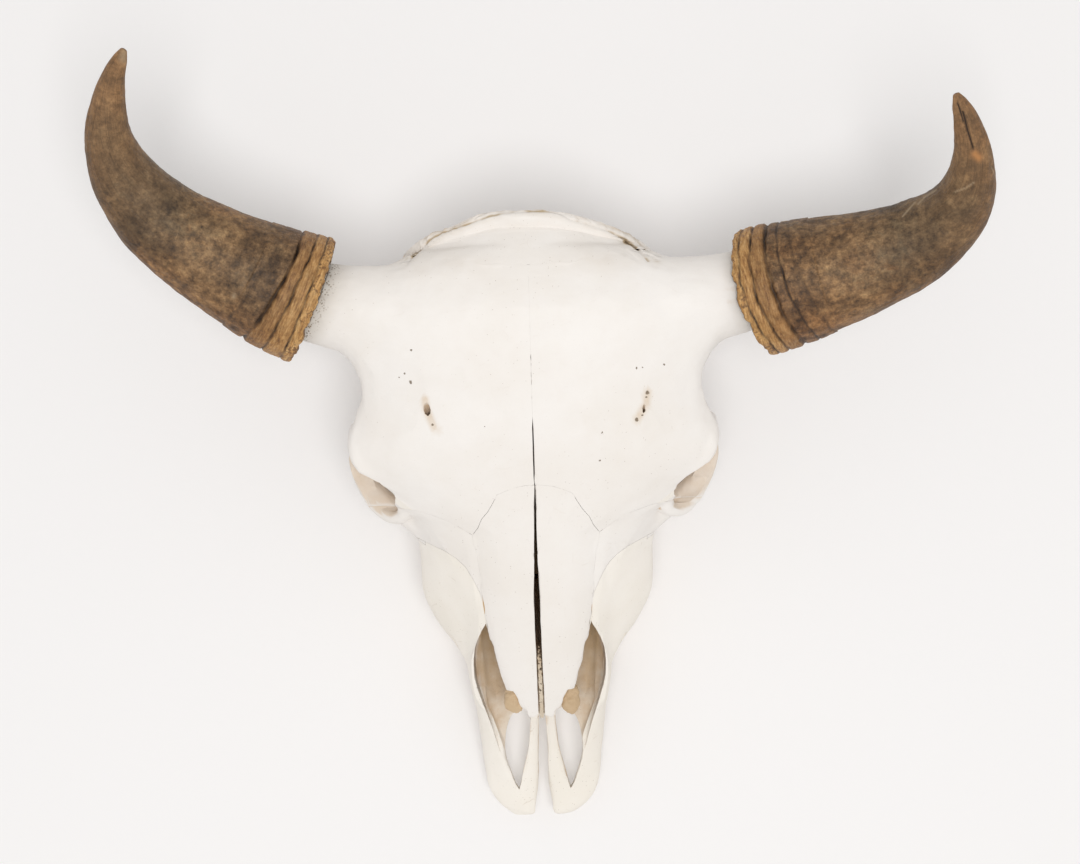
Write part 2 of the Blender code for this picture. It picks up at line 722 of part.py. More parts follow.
def open_skull(skull):
    cutters = [neck_hole(), inner_nostril(), floor_cutter(), *midline_gap()]
    for side in (1, -1):
        cutters += [eye_socket(side), palate_gap(side), nose_mouth(side)]
        cutters += [brow_hole(side), cheek_hole(side), ear_hole(side)]
    return boolean(skull, "DIFFERENCE", cutters)


# Seams between bones

def wavy(points, size=1.0, length=15.0, phase=0.0):
    """A seam line with small, uneven waves."""
    points = np.asarray(points, float)
    steps = np.linalg.norm(np.diff(points, axis=0), axis=1)
    run = np.concatenate([[0], np.cumsum(steps)])
    count = max(2, int(run[-1] / (length / 2.0)))
    rows = []
    for k in range(count + 1):
        s = run[-1] * k / count
        here = np.array([np.interp(s, run, points[:, i]) for i in (0, 1)])
        ahead = np.array([np.interp(min(s + 1, run[-1]), run, points[:, i]) for i in (0, 1)])
        back = np.array([np.interp(max(s - 1, 0), run, points[:, i]) for i in (0, 1)])
        across = np.array([-(ahead - back)[1], (ahead - back)[0]])
        across /= max(np.linalg.norm(across), 1e-6)
        push = size * (math.sin(2.3 * k + phase) + 0.5 * math.sin(1.1 * k + 2 * phase))
        push *= min(1.0, s / 16.0, (run[-1] - s) / 16.0)
        rows.append(tuple(here + across * push))
    return rows


def grown(outline, by):
    """The outline moved outwards by a distance."""
    p = np.asarray(outline, float)
    ahead, back = np.roll(p, -1, 0) - p, p - np.roll(p, 1, 0)
    turn = np.sum(p[:, 0] * np.roll(p[:, 1], -1) - np.roll(p[:, 0], -1) * p[:, 1])
    sign = 1.0 if turn > 0 else -1.0
    normals = []
    for a, b in zip(ahead, back):
        a, b = a / np.linalg.norm(a), b / np.linalg.norm(b)
        n = np.array([a[1] + b[1], -(a[0] + b[0])]) * sign
        n /= max(np.linalg.norm(n), 1e-6)
        cosine = max(0.4, float(np.dot(n, sign * np.array([a[1], -a[0]]))))
        normals.append(n / cosine)
    return [tuple(q) for q in p + by * np.array(normals)]


def region(name, prisms, gap=0.0):
    """The space that belongs to a bone: where all its prisms meet, grown by the gap."""
    made = []
    for outline, axis, low, high in prisms:
        made.append(prism(name, grown(outline, gap), axis, low - gap, high + gap))
    return boolean(made[0], "INTERSECT", made[1:])


def flipped(side, prisms):
    """The same prisms on the other side of the midline, with no share of the midline itself."""
    if side == 1:
        return prisms
    turned = []
    for outline, axis, low, high in prisms:
        if axis == "z":
            turned.append(([(-x, y) for x, y in outline], axis, low, high))
        else:
            turned.append((outline, axis, -high, -low))
    return turned


HALF_GAP = SUTURE_GAP / 2
NOSE_SEAM = [(44.5, 178), (44.6, 186), (46.7, 207), (50, 242), (54, 265)]
BROW_SEAM = [(54, 265), (40, 286), (27, 303), (14, 306), (HALF_GAP, NASION_Y)]
TEAR_FRONT = [(48.4, 212), (61, 237), (80, 252), (108, 263), (122, 271), (150, 276)]
TEAR_BACK = [(150, 291), (128, 291), (100, 287), (76, 279), (54, 265)]
POLL_SEAM = [(HALF_GAP, 489), (40, 492), (70, 496), (104, 504), (130, 520)]


def bone_regions(side):
    """The bones of one side, in the order in which they are taken out of the skull."""
    roof_under = [(70, 82), (126, 105), (184, 132), (242, 160), (320, 186), (320, 290), (70, 290)]
    nasal = (
        [(HALF_GAP, 70), (40, 70), (36, 124), (41, 151)]
        + wavy(NOSE_SEAM)[:-1]
        + wavy(BROW_SEAM, 1.1)
    )
    front_jaw = [(-30, -20), (92, -20), (101, 30), (118, 55), (143, 86), (158, 132), (158, 180), (-30, 180)]
    tear = [tuple(p) for p in spline(TEAR_FRONT, False, 2)] + TEAR_BACK[:-1] + wavy(NOSE_SEAM)[:1:-1]
    cheek = [(97, 256), (112, 264), (180, 250), (180, 398), (128, 402), (104, 396), (94, 330), (94, 290)]
    forehead_side = [(240, 150), (262, 168), (300, 176), (352, 166), (388, 150), (430, 152), (520, 160),
                     (530, 320), (240, 320)]
    forehead_plan = [
        (HALF_GAP, 240), (50, 250), (80, 268), (108, 277), (128, 282), (150, 284), (300, 284), (300, 620),
        *wavy(POLL_SEAM, 1.2)[::-1],
    ]
    return {
        "nasal": [(nasal, "z", 60, 290), (roof_under, "x", HALF_GAP, 100)],
        "premaxilla": [(front_jaw, "x", HALF_GAP, 100)],
        "lacrimal": [(tear, "z", 104, 290)],
        "zygomatic": [(cheek, "z", 60, 166)],
        "frontal": [(forehead_plan, "z", 140, 320), (forehead_side, "x", HALF_GAP, 300)],
        "maxilla": [([(60, -20), (308, -20), (312, 120), (300, 260), (60, 260)], "x", HALF_GAP, 200)],
    }


def rear_regions():
    """The bones of the back of the head, which have no midline seam."""
    back = [(474, -30), (474, 118), (486, 150), (500, 182), (514, 212), (522, 260), (620, 260), (620, -30)]
    top = [(396, 158), (640, 158), (640, 290), (396, 290)]
    side = [(60, 396), (180, 396), (180, 520), (66, 520)]
    return [
        ("occipital", [(back, "x", -200, 200)]),
        ("parietal", [(top, "x", -200, 200)]),
        ("temporal_left", [(side, "z", 40, 157)]),
        ("temporal_right", [([(-x, y) for x, y in side], "z", 40, 157)]),
    ]


def copy_of(obj, name):
    made = bpy.data.objects.new(name, obj.data.copy())
    SKULL.objects.link(made)
    return made


def take(skull, name, prisms):
    """Takes one bone out of the skull, and leaves the seam gap round it."""
    bone = copy_of(skull, name)
    boolean(bone, "INTERSECT", [region(name + "_space", prisms)])
    boolean(skull, "DIFFERENCE", [region(name + "_gap", prisms, SUTURE_GAP)])
    return keep_largest(bone)


def parted_bones(skull):
    bones = {}
    names = ["nasal", "premaxilla", "lacrimal", "zygomatic", "frontal"]
    for name in names:
        for side, word in ((1, "left"), (-1, "right")):
            full = f"{name}_{word}"
            bones[full] = take(skull, full, flipped(side, bone_regions(side)[name]))
    for name, prisms in rear_regions():
        bones[name] = take(skull, name, prisms)
    for side, word in ((1, "left"), (-1, "right")):
        full = f"maxilla_{word}"
        bones[full] = take(skull, full, flipped(side, bone_regions(side)["maxilla"]))
    skull.name = "skull_base"
    CUTTERS.objects.unlink(skull)
    SKULL.objects.link(skull)
    bones["skull_base"] = keep_largest(skull)
    return bones


# Teeth

# Name, length along the row, width across it
TEETH = [("P2", 17, 17), ("P3", 19, 20), ("P4", 18, 23), ("M1", 25, 27), ("M2", 30, 28), ("M3", 32, 27)]


def tooth(side, x, y, length, width):
    """One cheek tooth, a ridged column worn flat on the floor."""
    half_length, half_width = length / 2 - 0.4, width / 2
    ring = []
    count = 12
    for k in range(count):
        angle = 2 * math.pi * k / count
        square = (abs(math.cos(angle)) ** 4 + abs(math.sin(angle)) ** 4) ** -0.25
        rib = 1.0 + (0.07 * math.cos(3 * (angle - math.pi / 2)) if math.cos(angle) > -0.2 else 0.0)
        ring.append((half_width * square * rib * math.cos(angle), half_length * square * math.sin(angle)))
    rings = []
    for z, spread in ((ALVEOLAR_Z + 9, 0.86), (ALVEOLAR_Z - 2, 0.94), (6, 0.97), (1.6, 0.93), (0, 0.82)):
        rings.append([(side * (x + u * spread), y + v * spread, z) for u, v in ring])
    return skin("tooth", rings)


def tooth_row(side):
    teeth = []
    y = TOOTH_ROW_FRONT
    for _, length, width in TEETH:
        middle = y + length / 2
        x = 57.0 + 12.0 * math.sin(math.pi / 2 * min(1.0, (middle - TOOTH_ROW_FRONT) / 100.0))
        teeth.append(tooth(side, x, middle, length, width))
        y += length
    return teeth


# Horn sheaths

# Each row is x, y, z and half the width seen from above. The right horn sweeps up further than the left.
RIGHT_HORN = [
    (-182.4, 467.0, 196, 54.0), (-203.5, 475.6, 200.5, 53.0), (-223.8, 485.2, 205.5, 50.4),
    (-262.2, 506.4, 216, 43.9), (-299.1, 531.8, 230, 37.4), (-322.5, 558.0, 248.5, 31.2),
    (-333.0, 580.5, 266.5, 25.3), (-335.5, 603.0, 286.5, 19.6), (-330.8, 625.0, 306, 14.4),
    (-323.5, 642.0, 323, 10.4), (-316.5, 653.0, 334, 7.2), (-311.5, 660.5, 341, 3.4),
]
LEFT_HORN = [
    (189.7, 464.2, 196, 53.0), (212.0, 469.0, 200.5, 53.4), (234.9, 474.1, 205.5, 51.4),
    (280.1, 485.2, 216, 44.4), (318.0, 498.6, 230, 37.6), (342.5, 513.6, 248.5, 31.4),
    (354.4, 528.8, 266.5, 26.3), (358.9, 545.4, 286.5, 21.3), (357.4, 565.2, 306, 16.4),
    (350.8, 585.6, 323, 11.8), (344.0, 598.6, 334, 8.0), (339.1, 607.0, 341, 3.6),
]
HORN_FLATNESS = 0.9
SOCKET_DEPTH = 46.0
PEG_PLAY = 9.0
# Distance from the rim, depth and half width of each growth groove
GROOVES = [(9.0, 1.7, 1.6), (21.0, 1.9, 1.7), (34.0, 3.0, 2.0), (50.0, 1.0, 2.6)]


def growth_rings(run, angle):
    """The stepped rings round the root of a horn."""
    shifted = run - 2.2 * math.sin(angle + 0.6)
    cut = -sum(depth * math.exp(-(((shifted - at) / half) ** 2)) for at, depth, half in GROOVES)
    lip = -2.2 * math.exp(-run / 1.4)
    return cut + lip


def horn_direction(stations):
    """The way a horn leaves the head, and the middle of its rim."""
    start, ahead = Vector(stations[0][:3]), Vector(stations[2][:3])
    return start, (ahead - start).normalized()


def horn_rows(stations):
    """Close rows where the growth rings are, and wider apart towards the tip."""
    rows = spline([(x, y, z, half, half * HORN_FLATNESS) for x, y, z, half in stations], False, 12)
    run = np.concatenate([[0], np.cumsum(np.linalg.norm(np.diff(rows[:, :3], axis=0), axis=1))])
    near = np.arange(0, 58, 3.4)
    far = np.linspace(60, run[-1], 12)
    wanted = np.concatenate([near, far])
    return np.array([[np.interp(s, run, rows[:, i]) for i in range(5)] for s in wanted])


def socket(stations, play):
    """The tapered hole in the root of a sheath, or with some play the peg that fits into it. The play
    is in millimetres, at the rim and at the bottom."""
    start, direction = horn_direction(stations)
    rows = []
    for run, wide, tall in ((-12, 48, 43), (0, 46.5, 42), (20, 42, 39), (SOCKET_DEPTH, 37, 35.5)):
        less = np.interp(run, (0, SOCKET_DEPTH), play)
        rows.append((*(start + direction * (run - play[1] * (run > 20))), wide - less, tall - less))
    return tube("socket", rows, along=1, around=16)


def horn_sheath(name, stations):
    """The hollow-rooted sheath of horn over the bony peg."""
    sheath = tube(name, horn_rows(stations), along=1, around=16, holder=SKULL, wave=growth_rings)
    return boolean(sheath, "DIFFERENCE", [socket(stations, (0, 0))])


def beyond_peg(stations):
    """All that lies past the rim of a sheath, except the bony peg inside it."""
    start, direction = horn_direction(stations)
    far = start + direction * 160
    beyond = tube("beyond_peg", [(*start, 90, 90), (*far, 90, 90)], along=1, around=8)
    return boolean(beyond, "DIFFERENCE", [socket(stations, (PEG_PLAY, SUTURE_GAP))])


# The whole skull

skull = relax(fused_skull(), 6)
skull = thin_out(skull, SKULL_TRIANGLES)
skull = open_skull(skull)
boolean(skull, "DIFFERENCE", [vomer(1.5 * SUTURE_GAP)])
boolean(skull, "DIFFERENCE", [beyond_peg(LEFT_HORN), beyond_peg(RIGHT_HORN)])
nodes = parted_bones(skull)
boolean(nodes["maxilla_left"], "UNION", tooth_row(1))
boolean(nodes["maxilla_right"], "UNION", tooth_row(-1))
nodes["vomer"] = vomer()
nodes["vomer"].name = "vomer"
CUTTERS.objects.unlink(nodes["vomer"])
SKULL.objects.link(nodes["vomer"])
nodes["horn_sheath_left"] = horn_sheath("horn_sheath_left", LEFT_HORN)
nodes["horn_sheath_right"] = horn_sheath("horn_sheath_right", RIGHT_HORN)

bone_material = finish_material("bleached_bone", BONE, 0.62)
jaw_material = finish_material("bone_with_teeth", TOOTH_ROOTED_BONE, 0.55)
horn_material = finish_material("weathered_horn", HORN, 0.58)

corners = np.concatenate([[tuple(v.co) for v in node.data.vertices] for node in nodes.values()])
middle = (corners.min(0) + corners.max(0)) / 2
to_metres = Matrix.Scale(METRES, 4) @ Matrix.Translation((-middle[0], -middle[1], 0))
for name, node in nodes.items():
    node.data.transform(to_metres)
    node.data.materials.clear()
    if name.startswith("horn"):
        node.data.materials.append(horn_material)
    elif name.startswith("maxilla"):
        node.data.materials.append(jaw_material)
    else:
        node.data.materials.append(bone_material)
    node.data.shade_smooth()
    node.data.set_sharp_from_angle(angle=math.radians(42))
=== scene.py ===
"""Looks of a bull bison's skull with its two horn sheaths, lying on a pale floor and seen from above.

Shapes are written in millimetres in the skull's own frame: x to the animal's left from the midline,
y back from the tips of the front jaw bones, z up from the floor. at() turns them into the frame's metres."""

import math

import bmesh
import bpy
import numpy as np
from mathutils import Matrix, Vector, noise
from mathutils.bvhtree import BVHTree


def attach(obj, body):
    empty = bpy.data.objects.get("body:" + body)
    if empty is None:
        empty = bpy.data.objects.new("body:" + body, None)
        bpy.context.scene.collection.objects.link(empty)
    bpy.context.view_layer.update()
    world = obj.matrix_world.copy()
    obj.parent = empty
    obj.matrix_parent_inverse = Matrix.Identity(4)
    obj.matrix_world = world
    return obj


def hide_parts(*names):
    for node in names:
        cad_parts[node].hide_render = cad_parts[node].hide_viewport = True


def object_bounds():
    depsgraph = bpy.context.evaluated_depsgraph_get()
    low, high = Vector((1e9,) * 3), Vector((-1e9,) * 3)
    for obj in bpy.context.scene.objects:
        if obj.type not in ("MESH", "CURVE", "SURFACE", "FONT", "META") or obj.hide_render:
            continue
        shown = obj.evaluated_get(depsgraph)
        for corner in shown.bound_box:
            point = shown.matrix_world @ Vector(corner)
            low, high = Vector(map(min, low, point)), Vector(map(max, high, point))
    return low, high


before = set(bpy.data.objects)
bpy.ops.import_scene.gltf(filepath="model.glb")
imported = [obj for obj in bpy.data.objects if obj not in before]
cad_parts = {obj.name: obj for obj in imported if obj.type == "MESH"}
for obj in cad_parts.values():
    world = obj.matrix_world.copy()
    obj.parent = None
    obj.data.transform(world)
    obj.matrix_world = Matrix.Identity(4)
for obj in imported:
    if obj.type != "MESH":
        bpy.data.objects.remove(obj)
cad_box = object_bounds()


# Braincase: the hind bones of the skull, from the ears to the crest where the neck muscles held on.
# Dry bone, grown together along wavy seams, so each is fitted to its neighbours with hairline joints.

# Where the frame's origin lies in the skull's own millimetres
SKULL_ORIGIN = (11.671, 332.266)

# Shelter, which the bone's colour shows as tan dust and painted shade, is felt for with rays: their reach
# and number, how far off the bone they start, and the turn from one to the next
SHADE_AND_STAIN_REACH = 0.07
SHADE_AND_STAIN_RAYS = 40
RAY_START = 0.0006
GOLDEN_TURN = 2.39996

# A bone's own points within a weld's reach are joined, and those within a seam's reach of another bone
# lie on a seam. Edges that bend more than this, on a seam or elsewhere, stay creased.
WELD = 0.000004
SEAM_REACH = 0.0006
SEAM_BEND = math.radians(28)
FREE_BEND = math.radians(50)
FREE_CREASE = 0.45

# Seams: millimetres that a face moves to shut one, how little it moves beside the tear and brow bones,
# and the line of the seam in front of the tear bone, seen from above
SHUT_SEAM = 0.17
TEAR_SEAM_SHUT = 0.11
BROW_SEAM_SHUT = 0.02
PORE_SEAM_SHUT = -0.12
TEAR_SEAM = [(48.4, 212), (61, 237), (80, 252), (108, 263), (122, 271)]


def at(x, y, z):
    return Vector(((x - SKULL_ORIGIN[0]) / 1000, (y - SKULL_ORIGIN[1]) / 1000, z / 1000))


def surface_of(nodes):
    """One search tree over the surfaces of some solids."""
    corners, faces = [], []
    for node in nodes:
        start = len(corners)
        corners += [v.co.copy() for v in node.data.vertices]
        faces += [[start + i for i in p.vertices] for p in node.data.polygons]
    return BVHTree.FromPolygons(corners, faces)


whole_skull = surface_of(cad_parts.values())


def even_rays(count):
    """Directions spread evenly over a half sphere round +Z, denser towards its top."""
    rays = []
    for k in range(count):
        lift = math.sqrt((k + 0.5) / count)
        turn = k * GOLDEN_TURN
        flat = math.sqrt(1 - lift * lift)
        rays.append(Vector((flat * math.cos(turn), flat * math.sin(turn), lift)))
    return rays


def shelter_of(place, normal):
    """How much of the sky over a point on the bone other bone covers, from 0 to 1. Tan dust and painted
    shade go where it is high."""
    turn = normal.to_track_quat("Z", "Y")
    start = place + normal * RAY_START
    hidden = 0.0
    for ray in SHADE_AND_STAIN_SKY:
        hit = whole_skull.ray_cast(start, turn @ ray, SHADE_AND_STAIN_REACH)
        if hit[0] is not None:
            hidden += 1.0 - 0.5 * hit[3] / SHADE_AND_STAIN_REACH
    return hidden / len(SHADE_AND_STAIN_SKY)


SHADE_AND_STAIN_SKY = even_rays(SHADE_AND_STAIN_RAYS)


def bone_blank(node_name, piece_name):
    """A joined-up copy of a bone's solid, with its seam edges kept sharp and its sheltered places noted."""
    bpy.ops.object.select_all(action="DESELECT")
    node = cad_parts[node_name]
    blank = bpy.data.objects.new(piece_name, node.data.copy())
    bpy.context.scene.collection.objects.link(blank)
    blank.select_set(True)
    bpy.context.view_layer.objects.active = blank
    bpy.ops.object.mode_set(mode="EDIT")
    bpy.ops.mesh.select_all(action="SELECT")
    bpy.ops.mesh.remove_doubles(threshold=WELD)
    bpy.ops.mesh.customdata_custom_splitnormals_clear()
    bpy.ops.object.mode_set(mode="OBJECT")

    others = surface_of([n for name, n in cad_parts.items() if name != node_name])
    bm = bmesh.new()
    bm.from_mesh(blank.data)
    crease = bm.edges.layers.float.get("crease_edge") or bm.edges.layers.float.new("crease_edge")
    seam = bm.verts.layers.float.new("seam")
    shelter = bm.verts.layers.float.new("shelter")
    bm.normal_update()
    for vert in bm.verts:
        near = others.find_nearest(vert.co, SEAM_REACH)
        vert[seam] = 1.0 if near[0] is not None else 0.0
    for edge in bm.edges:
        bend = edge.calc_face_angle(0.0)
        if edge.verts[0][seam] and edge.verts[1][seam] and bend > SEAM_BEND:
            edge[crease] = 1.0
        elif bend > FREE_BEND:
            edge[crease] = FREE_CREASE
    open_verts = [v for v in bm.verts if not v[seam]]
    for vert in open_verts:
        vert[shelter] = shelter_of(vert.co, vert.normal)
    known = set(open_verts)
    while True:
        found = {}
        for vert in bm.verts:
            if vert not in known:
                beside = [e.other_vert(vert) for e in vert.link_edges]
                around = [other[shelter] for other in beside if other in known]
                if around:
                    found[vert] = sum(around) / len(around)
        if not found:
            break
        for vert, value in found.items():
            vert[shelter] = value
        known |= set(found)
    bm.to_mesh(blank.data)
    bm.free()
    return blank


def refine(blank, levels):
    """Rounds the facets of the solid into living bone."""
    modifier = blank.modifiers.new("refine", "SUBSURF")
    modifier.levels = levels
    modifier.render_levels = levels
    modifier.use_limit_surface = False
    bpy.context.view_layer.objects.active = blank
    bpy.ops.object.modifier_apply(modifier=modifier.name)
    return blank


def read_points(mesh):
    points = np.empty(len(mesh.vertices) * 3)
    mesh.vertices.foreach_get("co", points)
    normals = np.empty(len(mesh.vertices) * 3)
    mesh.vertices.foreach_get("normal", normals)
    return points.reshape(-1, 3), normals.reshape(-1, 3)


def read_values(mesh, name):
    values = np.empty(len(mesh.vertices))
    mesh.attributes[name].data.foreach_get("value", values)
    return values


def write_values(mesh, name, values):
    layer = mesh.attributes.get(name) or mesh.attributes.new(name, "FLOAT", "POINT")
    layer.data.foreach_set("value", np.asarray(values, dtype=np.float32))


def rough(points, size, octaves=3, seed=0.0):
    """Soft noise from about -1 to 1 at each point, with bumps of a size in metres."""
    shift = Vector((seed, 1.7 * seed, -seed))
    return np.array([noise.fractal(Vector(p) / size + shift, 0.9, 2.0, octaves) for p in points])


def even_out(blank, rounds):
    """Takes the last unevenness out of a bone, away from its seams."""
    mesh = blank.data
    points, _ = read_points(mesh)
    ends = np.empty(len(mesh.edges) * 2, int)
    mesh.edges.foreach_get("vertices", ends)
    a, b = ends.reshape(-1, 2).T
    degree = np.bincount(np.concatenate([a, b]), minlength=len(points))[:, None]
    free = np.clip(1.0 - 1.5 * read_values(mesh, "seam"), 0, 1)[:, None]
    for step in range(rounds):
        total = np.zeros_like(points)
        np.add.at(total, a, points[b])
        np.add.at(total, b, points[a])
        points += (total / degree - points) * free * (0.5 if step % 2 == 0 else -0.5)
    mesh.vertices.foreach_set("co", points.ravel())
    mesh.update()


def in_skull(points):
    """Skull millimetres of points given in the frame's metres."""
    return points * 1000 + np.array([*SKULL_ORIGIN, 0.0])


def line_distance(flat, line):
    """Distance of places from a line of points, seen from above."""
    best = np.full(len(flat), 1e9)
    for a, b in zip(line[:-1], line[1:]):
        a, b = np.array(a, float), np.array(b, float)
        t = np.clip((flat - a) @ (b - a) / ((b - a) @ (b - a)), 0, 1)
        best = np.minimum(best, np.linalg.norm(flat - (a + t[:, None] * (b - a)), axis=1))
    return best


def seam_fill(points):
    """How far a seam face moves towards its neighbour, in metres. Most seams of an old bull have grown
    shut; the one beside the tear bone, part of the brow seam and the front of the midline still show."""
    place = in_skull(points)
    side, y, z = np.abs(place[:, 0]), place[:, 1], place[:, 2]
    corner = (side > 80) & (side < 125) & (y > 485) & (z > 180)
    fill = np.where(corner, 4 * SHUT_SEAM, np.where((y > 480) & (z > 150), 2 * SHUT_SEAM, SHUT_SEAM))
    beside_tear_bone = line_distance(np.column_stack([side, y]), TEAR_SEAM) < 4
    fill[beside_tear_bone & (z > 95) & (z < 185)] = TEAR_SEAM_SHUT
    fill[(side > 31) & (side < 57) & (y > 266) & (y < 296) & (z > 180)] = BROW_SEAM_SHUT
    midline = (side < 2) & (z > 200)
    crack = np.clip((364 - y) / 10, 0, 1) * np.clip((y - 306) / 8, 0, 1)
    fill = np.where(midline & (crack > 0), SHUT_SEAM - 0.75 * crack, fill)
    dotted = (y > 380) & (y < 421) & (np.sin(y * 0.9) + np.sin(y * 0.37) > 0.1)
    return np.where(midline & dotted, PORE_SEAM_SHUT, fill) / 1000


def weather(blank, swell=0.0004, grain=0.00012):
    """Closes the grown seams and gives the surface the slight unevenness of old bone."""
    mesh = blank.data
    points, normals = read_points(mesh)
    push = swell * rough(points, 0.022, 3, 2.0) + grain * rough(points, 0.004, 2, 5.0)
    seam = read_values(mesh, "seam")
    push = seam_fill(points) * np.clip(seam * 1.4, 0, 1) + push * (1 - seam)
    points += normals * push[:, None]
    mesh.vertices.foreach_set("co", points.ravel())
    mesh.update()


def bone_piece(node_name, piece_name, levels=2, rounds=4, swell=0.0004):
    """A bone shaped, evened out and weathered, ready to be noted on and dressed."""
    piece = refine(bone_blank(node_name, piece_name), levels)
    even_out(piece, rounds)
    weather(piece, swell)
    return piece


def new_material(name, gloss):
    """A material with an even gloss, with its nodes and its shader."""
    material = bpy.data.materials.new(name)
    material.use_nodes = True
    shader = material.node_tree.nodes["Principled BSDF"]
    shader.inputs["Specular IOR Level"].default_value = gloss
    return material, material.node_tree, shader


def shader_node(tree, kind, **values):
    """A new node. Each value goes to the node's setting of that name, or else to its socket."""
    made = tree.nodes.new("ShaderNode" + kind)
    for name, value in values.items():
        if hasattr(made, name):
            setattr(made, name, value)
        else:
            made.inputs[name.replace("_", " ")].default_value = value
    return made


def ramp(tree, source, stops):
    """A colour ramp fed by a socket. A stop is its place and a grey value or a colour."""
    made = tree.nodes.new("ShaderNodeValToRGB")
    tree.links.new(source, made.inputs["Fac"])
    elements = made.color_ramp.elements
    while len(elements) < len(stops):
        elements.new(0.5)
    for element, (position, value) in zip(elements, stops):
        element.position = position
        element.color = (value, value, value, 1) if isinstance(value, float) else (*value, 1)
    return made.outputs["Color"]


def blend(tree, amount, first, second, kind="MIX"):
    """Mixes two colours, given as sockets or values, by an amount, also a socket or a value."""
    made = tree.nodes.new("ShaderNodeMix")
    made.data_type = "RGBA"
    made.blend_type = kind
    sockets = made.inputs["Factor"], made.inputs[6], made.inputs[7]
    for socket, value in zip(sockets, (amount, first, second)):
        if isinstance(value, bpy.types.NodeSocket):
            tree.links.new(value, socket)
        elif isinstance(value, tuple):
            socket.default_value = (*value, 1)
        else:
            socket.default_value = value
    return made.outputs[2]


def times(tree, first, second, kind="MULTIPLY"):
    """The product of two sockets or numbers, or their sum or the like."""
    made = tree.nodes.new("ShaderNodeMath")
    made.operation = kind
    for socket, value in zip(made.inputs, (first, second)):
        if isinstance(value, bpy.types.NodeSocket):
            tree.links.new(value, socket)
        else:
            socket.default_value = value
    return made.outputs[0]


def pattern(tree, place, kind="TexNoise", **values):
    """The outputs of a noise, or of a pattern of cells, at a place on the piece."""
    made = shader_node(tree, kind, **values)
    tree.links.new(place, made.inputs["Vector"])
    return made.outputs


def scaled(tree, vector, scale, start=None):
    """A vector times a scale, from a start if one is given."""
    made = shader_node(tree, "VectorMath", operation="MULTIPLY" if start is None else "MULTIPLY_ADD")
    tree.links.new(vector, made.inputs[0])
    made.inputs[1].default_value = scale
    if start is not None:
        tree.links.new(start, made.inputs[2])
    return made.outputs[0]


def noted(tree, name, output="Fac"):
    """What the shaping of a piece noted on its surface under a name."""
    return shader_node(tree, "Attribute", attribute_name=name).outputs[output]


def raise_bumps(tree, shader, height, strength, distance):
    bump = shader_node(tree, "Bump", Strength=strength, Distance=distance)
    tree.links.new(height, bump.inputs["Height"])
    tree.links.new(bump.outputs[0], shader.inputs["Normal"])


# How far the outlines of small holes wander, in metres
HOLE_BEND = 0.003


def spots(tree, place, holes):
    """A mask of small holes seen from above. A hole is x, y and its radius in millimetres."""
    bend = pattern(tree, place, Scale=240.0, Detail=2.0)["Color"]
    flat = scaled(tree, bend, (HOLE_BEND, HOLE_BEND, 0.0), place)
    level = scaled(tree, flat, (1.0, 1.0, 0.0))
    half_bend = Vector((HOLE_BEND / 2, HOLE_BEND / 2, 0))
    mask = None
    for x, y, radius in holes:
        away = shader_node(tree, "VectorMath", operation="DISTANCE")
        tree.links.new(level, away.inputs[0])
        away.inputs[1].default_value = at(x, y, 0) + half_bend
        share = times(tree, away.outputs["Value"], 1000.0 / (2 * radius))
        inside = ramp(tree, share, [(0.35, 1.0), (0.6, 0.0)])
        mask = inside if mask is None else times(tree, mask, inside, "MAXIMUM")
    return mask


# Browns of old bone: round the horns, in hollows, along the crest and in its clefts, and in small holes.
# The crest's brown also paints shade in the hollow between the poll and the crest.
COLLAR_GREY = (0.66, 0.60, 0.50)
SPONGE_BROWN = (0.36, 0.30, 0.21)
HOLLOW_TAN = (0.63, 0.44, 0.245)
CREST_BROWN = (0.44, 0.31, 0.155)
CLEFT_DARK = (0.12, 0.075, 0.035)
HOLE_DARK = (0.16, 0.11, 0.06)


